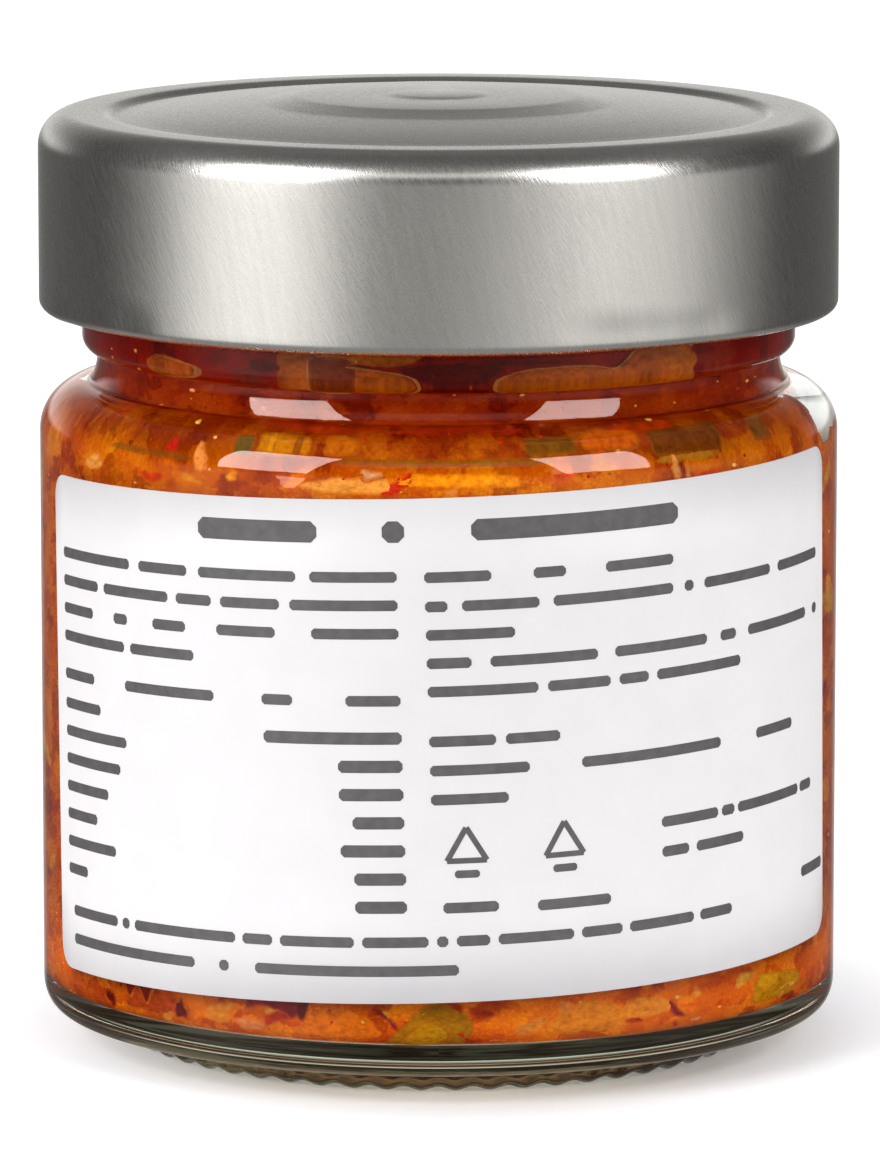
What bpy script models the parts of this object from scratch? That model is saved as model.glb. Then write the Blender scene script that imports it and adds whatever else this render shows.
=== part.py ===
"""Kimchi jar: a straight-sided glass jar, its twist-off metal lid, a paper label and the chopped kimchi inside.

Metres, +Z up. The jar stands at z = 0 on the knurled ring under its base, its axis is the Z axis,
and the label faces -Y.
"""
import math
import random

import bmesh
import bpy
from mathutils import Matrix, Vector

MM = 0.001
MERGE = 0.00001

# Glass jar: outside
BODY_RADIUS = 36.5 * MM
SHOULDER_LOW = 56.0 * MM
SHOULDER_TOP = 60.45 * MM
SHOULDER_IN = 4.5 * MM
NECK_RADIUS = 31.2 * MM
NECK_LOW = 61.1 * MM
NECK_TOP = 62.3 * MM
BEAD_RADIUS = 32.6 * MM
BEAD_LOW = 64.4 * MM
BEAD_TOP = 67.2 * MM
FINISH_RADIUS = 31.3 * MM
RIM_TOP = 83.5 * MM
HEEL_BOTTOM = 2.75 * MM
HEEL_UP = 2.4 * MM
HEEL_IN = 1.5 * MM

# Glass jar: ring under the base, with its knurls
RING_OUTER = 29.6 * MM
RING_INNER = 24.8 * MM
RING_BOTTOM = 0.35 * MM
BASE_DOME = 2.2 * MM
KNURLS = 58
KNURL_FROM = 25.8 * MM
KNURL_TO = 28.6 * MM
KNURL_ROOT = 2.6 * MM
KNURL_CROWN = 1.1 * MM
KNURL_RISE = 1.3 * MM

# Glass jar: inside
INNER_RADIUS = 33.6 * MM
FLOOR = 5.2 * MM
FLOOR_ROUND = 2.6 * MM
INNER_SHOULDER_LOW = 54.0 * MM
BORE_RADIUS = 29.2 * MM
RIM_ROUND = 0.6 * MM

# Lid
LID_RADIUS = 36.5 * MM
LID_BOTTOM = 67.05 * MM
LID_RING_TOP = 85.0 * MM
LID_EDGE_ROUND = 3.0 * MM
LID_RING_INNER = 30.2 * MM
LID_STEP_FOOT = 29.6 * MM
LID_STEP_DEPTH = 0.5 * MM
BUTTON_SLOPE_OUTER = 16.3 * MM
BUTTON_SLOPE_INNER = 13.1 * MM
BUTTON_OUTER_TOP = 85.8 * MM
BUTTON_INNER_TOP = 86.28 * MM
BUTTON_CENTRE_RADIUS = 4.7 * MM
BUTTON_CENTRE_TOP = 86.6 * MM
LID_SHEET = 0.6 * MM
CURL_RADIUS = 0.9 * MM
LUG_ANGLES = (32.0, 122.0, -148.0, -58.0)
LUG_HALF_WIDTH = 12.0
LUG_REACH = 2.4 * MM
LUG_HEIGHT = 2.2 * MM
LID_SIDES = 60

# Label: a sheet wrapped round the front, a little askew
LABEL_WIDTH = 90.4 * MM
LABEL_HEIGHT = 45.0 * MM
LABEL_ROUND = 2.2 * MM
LABEL_GAP = 0.18 * MM
LABEL_THICK = 0.2 * MM
LABEL_MIDDLE = 32.25 * MM
LABEL_ASIDE = 0.6 * MM
LABEL_TILT = math.radians(1.72)
LABEL_COLUMNS = 34
LABEL_CORNER_COLUMNS = 4

# Kimchi: a core of fine mash with the pieces that show at the glass
GLASS_GAP = 0.35 * MM
CORE_INSET = 1.5 * MM
KIMCHI_TOP = 76.0 * MM
CORE_SIDES = 40
LEAF_PIECES = 20
STRIP_PIECES = 10
DICE_PIECES = 20
NECK_PIECES = 10
TOP_PIECES = 7
GOLDEN_TURN = math.pi * (3.0 - math.sqrt(5.0))


def clear_scene():
    for old in list(bpy.data.objects):
        bpy.data.objects.remove(old, do_unlink=True)


def make_material(name, colour, roughness, metallic=0.0, transmission=0.0, ior=1.45):
    material = bpy.data.materials.new(name)
    material.use_nodes = True
    shader = material.node_tree.nodes["Principled BSDF"]
    shader.inputs["Base Color"].default_value = (*colour, 1.0)
    shader.inputs["Roughness"].default_value = roughness
    shader.inputs["Metallic"].default_value = metallic
    shader.inputs["Transmission Weight"].default_value = transmission
    shader.inputs["IOR"].default_value = ior
    material.diffuse_color = (*colour, 1.0)
    return material


def new_object(name, mesh, collection, material=None):
    made = bpy.data.objects.new(name, mesh)
    collection.objects.link(made)
    if material:
        mesh.materials.append(material)
    return made


def ellipse_arc(centre_r, centre_z, wide, high, start, end, count):
    """Points of an elliptical arc in the (r, z) plane, angles in degrees from +r towards +z."""
    points = []
    for i in range(count):
        angle = math.radians(start + (end - start) * i / (count - 1))
        points.append((centre_r + wide * math.cos(angle), centre_z + high * math.sin(angle)))
    return points


def turned(name, profile, sides, collection, material=None):
    """Solid of revolution about Z from a profile that runs down its outer side."""
    mesh = bpy.data.meshes.new(name)
    points = [(r, 0.0, z) for r, z in profile]
    edges = [(i, i + 1) for i in range(len(points) - 1)]
    if profile[0][0] > 0.0:
        edges.append((len(points) - 1, 0))
    mesh.from_pydata(points, edges, [])
    made = new_object(name, mesh, collection, material)
    screw = made.modifiers.new("turn", "SCREW")
    screw.axis = "Z"
    screw.angle = 2.0 * math.pi
    screw.steps = sides
    screw.render_steps = sides
    screw.use_merge_vertices = True
    screw.merge_threshold = MERGE
    screw.use_smooth_shade = True
    return made


def apply_modifiers(made):
    """Replace an object's mesh by its evaluated one."""
    graph = bpy.context.evaluated_depsgraph_get()
    mesh = bpy.data.meshes.new_from_object(made.evaluated_get(graph), depsgraph=graph)
    made.modifiers.clear()
    made.data = mesh
    return mesh


def fuse(target, pieces):
    """Join a collection's objects onto the target with one union, then remove them."""
    union = target.modifiers.new("fuse", "BOOLEAN")
    union.operation = "UNION"
    union.operand_type = "COLLECTION"
    union.collection = pieces
    union.solver = "EXACT"
    bpy.context.view_layer.update()
    apply_modifiers(target)
    for piece in list(pieces.objects):
        bpy.data.objects.remove(piece, do_unlink=True)
    bpy.data.collections.remove(pieces)


def shade_round(made):
    made.data.shade_smooth()
    made.data.set_sharp_from_angle(angle=math.radians(35.0))


def working_collection(name):
    made = bpy.data.collections.new(name)
    bpy.context.scene.collection.children.link(made)
    return made


# Glass jar

def jar_inside():
    """Inner surface from the middle of the floor up to the rim."""
    bottom = ellipse_arc(
        INNER_RADIUS - FLOOR_ROUND, FLOOR + FLOOR_ROUND, FLOOR_ROUND, FLOOR_ROUND, -90, 0, 4
    )
    pull_in = INNER_RADIUS - BORE_RADIUS
    shoulder = ellipse_arc(BORE_RADIUS, INNER_SHOULDER_LOW, pull_in, pull_in, 0, 90, 5)
    return [(0.0, FLOOR)] + bottom + shoulder + [(BORE_RADIUS, RIM_TOP - RIM_ROUND)]


def jar_outside():
    """Outer surface from the rim down to the middle of the base."""
    rim = [(BORE_RADIUS + RIM_ROUND, RIM_TOP), (FINISH_RADIUS - RIM_ROUND, RIM_TOP)]
    finish = [(FINISH_RADIUS, RIM_TOP - RIM_ROUND), (FINISH_RADIUS, BEAD_TOP + 0.3 * MM)]
    bead = [(BEAD_RADIUS - 0.5 * MM, BEAD_TOP), (BEAD_RADIUS, BEAD_TOP - 0.6 * MM)]
    under_bead = ellipse_arc(NECK_RADIUS, BEAD_LOW, BEAD_RADIUS - NECK_RADIUS, 1.5 * MM, 0, -78, 3)
    neck = [(NECK_RADIUS, NECK_TOP), (NECK_RADIUS, NECK_LOW), (NECK_RADIUS + 0.3 * MM, 60.6 * MM)]
    shoulder = ellipse_arc(
        BODY_RADIUS - SHOULDER_IN, SHOULDER_LOW, SHOULDER_IN, SHOULDER_TOP - SHOULDER_LOW, 90, 0, 6
    )
    heel = ellipse_arc(
        BODY_RADIUS - HEEL_IN, HEEL_BOTTOM + HEEL_UP, HEEL_IN, HEEL_UP, 0, -90, 4
    )
    ring = [
        (RING_OUTER + 0.7 * MM, HEEL_BOTTOM),
        (RING_OUTER, HEEL_BOTTOM - 0.6 * MM),
        (RING_OUTER - 0.3 * MM, RING_BOTTOM + 0.6 * MM),
        (RING_OUTER - 0.8 * MM, RING_BOTTOM),
        (RING_INNER + 0.7 * MM, RING_BOTTOM),
        (RING_INNER, RING_BOTTOM + 0.8 * MM),
        (RING_INNER - 0.8 * MM, BASE_DOME - 0.3 * MM),
    ]
    return rim + finish + bead + under_bead + neck + shoulder + heel + ring + [(0.0, BASE_DOME)]


def make_knurl(number, pieces):
    """One radial rib under the ring, a block narrowed to its flat crown."""
    shape = bmesh.new()
    bmesh.ops.create_cube(shape, size=1.0)
    long = KNURL_TO - KNURL_FROM
    for point in shape.verts:
        crown = point.co.z < 0.0
        point.co.x *= long + (0.0 if crown else 0.6 * MM)
        point.co.y *= KNURL_CROWN if crown else KNURL_ROOT
        point.co.z = 0.0 if crown else KNURL_RISE
    turn = 2.0 * math.pi * (number + 0.5) / KNURLS
    place = Matrix.Rotation(turn, 4, "Z") @ Matrix.Translation(((KNURL_FROM + KNURL_TO) / 2, 0, 0))
    bmesh.ops.transform(shape, matrix=place, verts=shape.verts)
    mesh = bpy.data.meshes.new("knurl")
    shape.to_mesh(mesh)
    shape.free()
    new_object(f"knurl_{number}", mesh, pieces)


def make_jar(collection):
    glass = make_material("clear_glass", (0.93, 0.95, 0.92), 0.04, transmission=1.0, ior=1.5)
    jar = turned("jar", jar_inside() + jar_outside(), KNURLS, collection, glass)
    apply_modifiers(jar)
    pieces = working_collection("knurls")
    for number in range(KNURLS):
        make_knurl(number, pieces)
    fuse(jar, pieces)
    shade_round(jar)
    return jar


# Lid

def lid_profile():
    """Closed outline of the lid's sheet, down the outside and back up the inside."""
    panel_edge = LID_RING_TOP - LID_STEP_DEPTH
    top = [
        (0.0, BUTTON_CENTRE_TOP),
        (BUTTON_CENTRE_RADIUS, BUTTON_CENTRE_TOP),
        (BUTTON_SLOPE_INNER, BUTTON_INNER_TOP),
        (BUTTON_SLOPE_OUTER, BUTTON_OUTER_TOP),
        (LID_STEP_FOOT, panel_edge),
        (LID_RING_INNER, LID_RING_TOP),
    ]
    edge_centre = LID_RADIUS - LID_EDGE_ROUND
    edge = ellipse_arc(edge_centre, LID_RING_TOP - LID_EDGE_ROUND, LID_EDGE_ROUND, LID_EDGE_ROUND, 90, 0, 6)
    curl = ellipse_arc(
        LID_RADIUS - CURL_RADIUS, LID_BOTTOM + CURL_RADIUS, CURL_RADIUS, CURL_RADIUS, 0, -180, 5
    )
    inner_round = LID_EDGE_ROUND - LID_SHEET
    wall = [(LID_RADIUS - LID_SHEET, LID_BOTTOM + 2.0 * CURL_RADIUS)]
    inner_edge = ellipse_arc(edge_centre, LID_RING_TOP - LID_EDGE_ROUND, inner_round, inner_round, 0, 90, 3)
    under = [
        (LID_RING_INNER + 0.3 * MM, LID_RING_TOP - LID_SHEET),
        (LID_STEP_FOOT + 0.1 * MM, panel_edge - LID_SHEET),
        (BUTTON_SLOPE_OUTER, BUTTON_OUTER_TOP - LID_SHEET),
        (BUTTON_SLOPE_INNER, BUTTON_INNER_TOP - LID_SHEET),
        (0.0, BUTTON_CENTRE_TOP - LID_SHEET),
    ]
    return top + edge + curl + wall + inner_edge + under


def make_lug(number, middle, pieces):
    """One lug: a short arc of sheet turned in from the lid's lower edge."""
    outer = LID_RADIUS - 0.35 * MM
    inner = LID_RADIUS - CURL_RADIUS * 2.0 - LUG_REACH + 1.0 * MM
    low = LID_BOTTOM + 0.25 * MM
    high = low + LUG_HEIGHT
    section = [(outer, high), (outer, low), (inner, low + 0.5 * MM), (inner, low + 1.1 * MM)]
    lug = turned(f"lug_{number}", section, 6, pieces)
    screw = lug.modifiers["turn"]
    screw.angle = math.radians(2.0 * LUG_HALF_WIDTH)
    screw.use_merge_vertices = False
    mesh = apply_modifiers(lug)
    shape = bmesh.new()
    shape.from_mesh(mesh)
    open_edges = [edge for edge in shape.edges if edge.is_boundary]
    bmesh.ops.holes_fill(shape, edges=open_edges, sides=len(section))
    bmesh.ops.recalc_face_normals(shape, faces=shape.faces)
    start = math.radians(middle - LUG_HALF_WIDTH - 90.0)
    bmesh.ops.rotate(shape, matrix=Matrix.Rotation(start, 3, "Z"), verts=shape.verts)
    shape.to_mesh(mesh)
    shape.free()


def make_lid(collection):
    metal = make_material("brushed_tin", (0.62, 0.6, 0.57), 0.32, metallic=1.0)
    lid = turned("lid", lid_profile(), LID_SIDES, collection, metal)
    apply_modifiers(lid)
    pieces = working_collection("lugs")
    for number, middle in enumerate(LUG_ANGLES):
        make_lug(number, middle, pieces)
    fuse(lid, pieces)
    shade_round(lid)
    return lid


# Label

def label_columns():
    """Where the columns of the flat label stand, closer together round its corners."""
    straight = LABEL_WIDTH / 2 - LABEL_ROUND
    corner = []
    for i in range(LABEL_CORNER_COLUMNS):
        turn = math.pi / 2 * i / LABEL_CORNER_COLUMNS
        corner.append(straight + LABEL_ROUND * math.cos(turn))
    inner = [straight - 2 * straight * i / LABEL_COLUMNS for i in range(LABEL_COLUMNS + 1)]
    return [-u for u in corner] + [-u for u in inner] + list(reversed(corner))


def label_half_height(along):
    """Half of the label's height at a distance from its middle, with the corners rounded off."""
    past = max(0.0, abs(along) - (LABEL_WIDTH / 2 - LABEL_ROUND))
    return LABEL_HEIGHT / 2 - LABEL_ROUND + math.sqrt(max(0.0, LABEL_ROUND**2 - past**2))


def wrap_label(along, up):
    """A point of the flat label, turned by its tilt and wrapped onto the jar's front."""
    radius = BODY_RADIUS + LABEL_GAP
    turned_along = along * math.cos(LABEL_TILT) - up * math.sin(LABEL_TILT)
    turned_up = along * math.sin(LABEL_TILT) + up * math.cos(LABEL_TILT)
    angle = (LABEL_ASIDE + turned_along) / radius
    return Vector((radius * math.sin(angle), -radius * math.cos(angle), LABEL_MIDDLE + turned_up))


def make_label(collection):
    paper = make_material("white_paper", (0.83, 0.81, 0.82), 0.6)
    shape = bmesh.new()
    columns = []
    for along in label_columns():
        half = label_half_height(along)
        columns.append([shape.verts.new(wrap_label(along, up)) for up in (-half, half)])
    for left, right in zip(columns, columns[1:]):
        shape.faces.new((left[0], right[0], right[1], left[1]))
    mesh = bpy.data.meshes.new("label")
    shape.to_mesh(mesh)
    shape.free()
    label = new_object("label", mesh, collection, paper)
    sheet = label.modifiers.new("thickness", "SOLIDIFY")
    sheet.thickness = LABEL_THICK
    sheet.offset = 1.0
    shade_round(label)
    return label


# Kimchi

def wall_radius(height):
    """Radius of the jar's inner surface at a height."""
    if height < FLOOR + FLOOR_ROUND:
        drop = FLOOR + FLOOR_ROUND - height
        return INNER_RADIUS - FLOOR_ROUND + math.sqrt(max(0.0, FLOOR_ROUND**2 - drop**2))
    if height < INNER_SHOULDER_LOW:
        return INNER_RADIUS
    pull_in = INNER_RADIUS - BORE_RADIUS
    rise = min(height - INNER_SHOULDER_LOW, pull_in)
    return BORE_RADIUS + math.sqrt(pull_in**2 - rise**2)


def core_profile():
    """The bare core, a little smaller than the jar's inside, from its top down to its base."""
    inset = CORE_INSET
    bore = BORE_RADIUS - inset
    body = INNER_RADIUS - inset
    low = FLOOR + GLASS_GAP
    top = [(0.0, KIMCHI_TOP), (0.6 * bore, KIMCHI_TOP - 0.4 * MM), (bore, KIMCHI_TOP - 1.6 * MM)]
    pull_in = body - bore
    shoulder = ellipse_arc(bore, INNER_SHOULDER_LOW - inset, pull_in, pull_in, 90, 0, 5)
    bottom_round = FLOOR_ROUND - inset + GLASS_GAP
    bottom = ellipse_arc(body - bottom_round, low + bottom_round, bottom_round, bottom_round, 0, -90, 3)
    return top + shoulder + bottom + [(0.0, low)]


def ragged_outline(draw, long, high, corners, ragged):
    """Corners of a chopped piece as it shows at the glass: offsets along the wall and up."""
    outline = []
    for i in range(corners):
        angle = 2.0 * math.pi * (i + draw.uniform(-0.25, 0.25)) / corners
        reach = 1.0 - ragged * draw.random()
        outline.append((long / 2 * reach * math.cos(angle), high / 2 * reach * math.sin(angle)))
    slant = draw.uniform(-0.9, 0.9)
    cos, sin = math.cos(slant), math.sin(slant)
    return [(a * cos - b * sin, a * sin + b * cos) for a, b in outline]


def pressed_piece(name, draw, middle, outline, relief, pieces):
    """A piece pressed to the glass: its front follows the wall, its back is sunk in the core."""
    turn, height = middle

    def at(along, up, depth):
        z = max(height + up, FLOOR + GLASS_GAP * 2)
        radius = wall_radius(z) - GLASS_GAP - depth
        angle = turn + along / INNER_RADIUS
        return (radius * math.sin(angle), -radius * math.cos(angle), z)

    shape = bmesh.new()
    back_depth = CORE_INSET + 0.8 * MM
    front = [shape.verts.new(at(a, b, relief * (0.5 + 0.5 * draw.random()))) for a, b in outline]
    back = [shape.verts.new(at(a * 0.9, b * 0.9, back_depth)) for a, b in outline]
    crown = shape.verts.new(at(0.0, 0.0, 0.0))
    heart = shape.verts.new(at(0.0, 0.0, back_depth + 0.4 * MM))
    count = len(outline)
    for i in range(count):
        j = (i + 1) % count
        shape.faces.new((front[i], front[j], crown))
        shape.faces.new((back[j], back[i], heart))
        shape.faces.new((front[j], front[i], back[i]))
        shape.faces.new((front[j], back[i], back[j]))
    bmesh.ops.recalc_face_normals(shape, faces=shape.faces)
    mesh = bpy.data.meshes.new(name)
    shape.to_mesh(mesh)
    shape.free()
    new_object(name, mesh, pieces)


def spread(number, count, low, high, first_turn):
    """Even places round the wall: a golden turn for each piece, heights in even steps."""
    height = low + (high - low) * (number + 0.5) / count
    return first_turn + number * GOLDEN_TURN, height


def make_body_pieces(draw, pieces):
    low, high = FLOOR + 3.5 * MM, INNER_SHOULDER_LOW - 1.5 * MM
    for i in range(LEAF_PIECES):
        outline = ragged_outline(draw, draw.uniform(9, 14) * MM, draw.uniform(5, 8) * MM, 7, 0.35)
        pressed_piece(f"leaf_{i}", draw, spread(i, LEAF_PIECES, low, high, 0.3), outline, 0.6 * MM, pieces)
    for i in range(STRIP_PIECES):
        outline = ragged_outline(draw, draw.uniform(9, 13) * MM, draw.uniform(1.8, 2.6) * MM, 8, 0.15)
        middle = spread(i, STRIP_PIECES, low, high, 2.1)
        pressed_piece(f"strip_{i}", draw, middle, outline, 0.4 * MM, pieces)
    for i in range(DICE_PIECES):
        outline = ragged_outline(draw, draw.uniform(3, 5) * MM, draw.uniform(2.5, 4) * MM, 5, 0.2)
        pressed_piece(f"dice_{i}", draw, spread(i, DICE_PIECES, low, high, 4.4), outline, 0.5 * MM, pieces)


def make_neck_pieces(draw, pieces):
    low = INNER_SHOULDER_LOW + INNER_RADIUS - BORE_RADIUS + 4.0 * MM
    high = KIMCHI_TOP - 5.0 * MM
    for i in range(NECK_PIECES):
        outline = ragged_outline(draw, draw.uniform(7, 11) * MM, draw.uniform(3.5, 5.5) * MM, 6, 0.3)
        pressed_piece(f"neck_{i}", draw, spread(i, NECK_PIECES, low, high, 0.9), outline, 0.6 * MM, pieces)


def make_top_pieces(draw, pieces):
    """Lumps that stand out of the top of the heap."""
    for i in range(TOP_PIECES):
        reach = (BORE_RADIUS - CORE_INSET - 5.5 * MM) * math.sqrt((i + 0.5) / TOP_PIECES)
        turn = i * GOLDEN_TURN
        shape = bmesh.new()
        bmesh.ops.create_icosphere(shape, subdivisions=1, radius=1.0)
        size = Vector((draw.uniform(3, 5), draw.uniform(2.5, 4), draw.uniform(1.2, 2.0))) * MM
        place = Matrix.Translation((reach * math.cos(turn), reach * math.sin(turn), KIMCHI_TOP - 0.8 * MM))
        lump = place @ Matrix.Rotation(draw.uniform(0, math.pi), 4, "Z") @ Matrix.Diagonal((*size, 1.0))
        bmesh.ops.transform(shape, matrix=lump, verts=shape.verts)
        mesh = bpy.data.meshes.new("lump")
        shape.to_mesh(mesh)
        shape.free()
        new_object(f"lump_{i}", mesh, pieces)


def keep_largest_body(made):
    """Drop loose scraps and fill sealed hollows by keeping only the largest connected surface."""
    shape = bmesh.new()
    shape.from_mesh(made.data)
    left = set(shape.faces)
    bodies = []
    while left:
        first = left.pop()
        body, queue = [first], [first]
        while queue:
            for edge in queue.pop().edges:
                for face in edge.link_faces:
                    if face in left:
                        left.remove(face)
                        body.append(face)
                        queue.append(face)
        bodies.append(body)
    largest = max(bodies, key=lambda body: sum(face.calc_area() for face in body))
    scrap = [face for body in bodies if body is not largest for face in body]
    bmesh.ops.delete(shape, geom=scrap, context="FACES")
    shape.to_mesh(made.data)
    shape.free()


def make_kimchi(collection):
    food = make_material("chopped_kimchi", (0.62, 0.2, 0.02), 0.4)
    kimchi = turned("kimchi", core_profile(), CORE_SIDES, collection, food)
    apply_modifiers(kimchi)
    pieces = working_collection("chopped_pieces")
    draw = random.Random(41)
    make_body_pieces(draw, pieces)
    make_neck_pieces(draw, pieces)
    make_top_pieces(draw, pieces)
    fuse(kimchi, pieces)
    keep_largest_body(kimchi)
    return kimchi


def main():
    clear_scene()
    collection = working_collection("kimchi_jar")
    make_jar(collection)
    make_lid(collection)
    make_label(collection)
    make_kimchi(collection)


main()
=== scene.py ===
# %% [markdown]
# # A shut jar of kimchi
#
# This lesson dresses a small glass jar: clear glass on a knurled foot, a satin twist-off lid, a paper
# label set a little askew, and chopped kimchi that fills the glass to the neck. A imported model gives
# every place and size. Each step says what a piece is on the real jar, and why it is made as it is.

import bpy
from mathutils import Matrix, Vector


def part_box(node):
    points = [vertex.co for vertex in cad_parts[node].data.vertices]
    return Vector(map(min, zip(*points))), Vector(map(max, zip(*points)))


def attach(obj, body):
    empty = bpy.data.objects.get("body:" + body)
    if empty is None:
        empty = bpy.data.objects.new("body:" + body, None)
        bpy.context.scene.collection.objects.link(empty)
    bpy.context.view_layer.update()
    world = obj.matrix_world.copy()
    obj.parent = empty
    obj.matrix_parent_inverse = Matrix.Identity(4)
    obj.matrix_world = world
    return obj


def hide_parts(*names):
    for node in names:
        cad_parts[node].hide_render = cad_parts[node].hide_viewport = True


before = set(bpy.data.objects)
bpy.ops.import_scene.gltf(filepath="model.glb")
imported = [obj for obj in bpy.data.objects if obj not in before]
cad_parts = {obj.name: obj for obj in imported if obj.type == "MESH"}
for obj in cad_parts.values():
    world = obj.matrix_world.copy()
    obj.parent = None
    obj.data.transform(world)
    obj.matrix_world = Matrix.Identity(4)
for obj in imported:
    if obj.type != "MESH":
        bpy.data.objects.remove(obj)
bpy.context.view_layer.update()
print("nodes:", sorted(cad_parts))

# %% [markdown]
# ## Sizes
#
# All lengths are in metres, so a millimetre is a named value. The radii and heights below are the ones
# that the solids were built from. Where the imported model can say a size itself, it is read from there.

# %% Sizes that several pieces share
import math
import random

import bmesh
import bpy
from mathutils import Vector
from mathutils.geometry import delaunay_2d_cdt
from mathutils.noise import noise as ragged

MM = 0.001
JAR_LOW, JAR_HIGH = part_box("jar")
LID_LOW, LID_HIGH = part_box("lid")
LABEL_LOW, LABEL_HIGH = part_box("label")
BODY_RADIUS = JAR_HIGH.x
LID_RADIUS = LID_HIGH.x
RIM_TOP = JAR_HIGH.z
INNER_RADIUS = 33.6 * MM
BORE_RADIUS = 29.2 * MM
FLOOR = 5.2 * MM
FLOOR_ROUND = 2.6 * MM
INNER_SHOULDER_LOW = 54.0 * MM
KIMCHI_TOP = 76.0 * MM
for name, low, high in (("jar", JAR_LOW, JAR_HIGH), ("lid", LID_LOW, LID_HIGH), ("label", LABEL_LOW, LABEL_HIGH)):
    print("%s: %.2f mm wide, from %.2f to %.2f mm up" % (name, (high.x - low.x) / MM, low.z / MM, high.z / MM))

# %% [markdown]
# ## Camera
#
# The jar was photographed from a little above its lid with a long lens. A long lens keeps the rims of
# the lid and the base at nearly the same curve, so the camera stands well back and looks down gently.

# %% Place the camera
CAMERA_AWAY = 757.5 * MM
CAMERA_HEIGHT = 163.4 * MM
CAMERA_ASIDE = 0.12 * MM
CAMERA_DOWN = math.radians(9.16)
FOCAL_LENGTH, FILM_WIDTH = 257.3, 36.0


def placed(name, data):
    """A new object of the scene, at its origin."""
    thing = bpy.data.objects.new(name, data)
    bpy.context.scene.collection.objects.link(thing)
    return thing


lens = bpy.data.cameras.new("long_lens")
lens.lens = FOCAL_LENGTH
lens.sensor_width = FILM_WIDTH
lens.clip_end = 20.0
camera = placed("camera", lens)
camera.location = (CAMERA_ASIDE, -CAMERA_AWAY, CAMERA_HEIGHT)
camera.rotation_euler = (math.pi / 2 - CAMERA_DOWN, 0.0, 0.0)
bpy.context.scene.camera = camera

# %% [markdown]
# ## Small helpers for materials
#
# Every finish here is made of nodes. Short helpers keep the code readable: one adds a node with its
# values, one joins an output to an input, and others mix colours or raise the surface. The wall's own
# coordinates let a pattern run round the jar instead of through it.

# %% Node helpers
BLACK, WHITE = (0.0, 0.0, 0.0), (1.0, 1.0, 1.0)


def new_material(name):
    material = bpy.data.materials.new(name)
    material.use_nodes = True
    return material, material.node_tree, material.node_tree.nodes["Principled BSDF"]


def add(tree, kind, inputs=None, **settings):
    """A new shader node with its settings, and default values for some of its inputs."""
    node = tree.nodes.new("ShaderNode" + kind)
    for key, value in settings.items():
        setattr(node, key, value)
    for key, value in (inputs or {}).items():
        node.inputs[key].default_value = value
    return node


def join(tree, source, target, out=0, into=0):
    """Link an output, or a node's output of that name or number, to another node's input."""
    tree.links.new(source.outputs[out] if hasattr(source, "outputs") else source, target.inputs[into])


def scaled(tree, source, out, by, plus=None):
    """A node's output times a number, and plus another where one is given."""
    inputs, operation = ({1: by}, "MULTIPLY") if plus is None else ({1: by, 2: plus}, "MULTIPLY_ADD")
    node = add(tree, "Math", inputs, operation=operation)
    join(tree, source, node, out)
    return node


def place_of(tree, kind="Object"):
    """The coordinates of a point, whole and split into three."""
    place = add(tree, "TexCoord")
    split = add(tree, "SeparateXYZ")
    join(tree, place, split, kind)
    return place, split


def turn_from_front(tree, split):
    """The angle round the upright axis, zero on the camera's side."""
    turn = add(tree, "Math", operation="ARCTAN2")
    join(tree, split, turn, "X", 0)
    join(tree, scaled(tree, split, "Y", -1.0), turn, 0, 1)
    return turn


def wall_coordinates(tree, radius):
    """Distance round the jar, height and distance from the axis, as one vector."""
    split = place_of(tree)[1]
    along = scaled(tree, turn_from_front(tree, split), 0, radius)
    flat = add(tree, "CombineXYZ")
    join(tree, split, flat, "X", "X")
    join(tree, split, flat, "Y", "Y")
    from_axis = add(tree, "VectorMath", operation="LENGTH")
    join(tree, flat, from_axis)
    wall = add(tree, "CombineXYZ")
    join(tree, along, wall, 0, "X")
    join(tree, split, wall, "Z", "Y")
    join(tree, from_axis, wall, "Value", "Z")
    return wall


def stretched(tree, source, scale, slant=0.0):
    """The same coordinates, slanted by some degrees and then scaled along each axis."""
    turned = add(tree, "Mapping", {"Rotation": (0.0, 0.0, math.radians(slant))})
    join(tree, source, turned, 0, "Vector")
    mapping = add(tree, "Mapping", {"Scale": scale})
    join(tree, turned, mapping, 0, "Vector")
    return mapping


def wall_noise(tree, wall, scale, slant=0.0, **inputs):
    """A noise in the wall's coordinates: so many waves to a metre along each of them."""
    node = add(tree, "TexNoise", {"Scale": 1.0, **inputs})
    join(tree, stretched(tree, wall, scale, slant), node, 0, "Vector")
    return node


def ramp(tree, source, stops, out=0):
    """The colour that a ramp of (place, colour) pairs gives to a factor."""
    node = add(tree, "ValToRGB")
    while len(node.color_ramp.elements) < len(stops):
        node.color_ramp.elements.new(0.5)
    for element, (place, colour) in zip(node.color_ramp.elements, stops):
        element.position = place
        element.color = (*colour, 1.0)
    join(tree, source, node, out, "Fac")
    return node.outputs["Color"]


def mixed(tree, factor, first, second, blend="MIX"):
    """Two colours, each an output or a plain colour, mixed by an output or a number."""
    node = add(tree, "Mix", data_type="RGBA", blend_type=blend)
    for socket, value in ((0, factor), (6, first), (7, second)):
        if isinstance(value, float):
            node.inputs[socket].default_value = value
        elif isinstance(value, tuple):
            node.inputs[socket].default_value = (*value, 1.0)
        else:
            tree.links.new(value, node.inputs[socket])
    return node.outputs[2]


def multiplied(tree, first, second, share=1.0):
    return mixed(tree, share, first, second, "MULTIPLY")


def bumped(tree, shader, source, strength, distance):
    """Let a pattern raise and lower the surface."""
    bump = add(tree, "Bump", {"Strength": strength, "Distance": distance})
    join(tree, source, bump, 0, "Height")
    join(tree, bump, shader, "Normal", "Normal")


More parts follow.
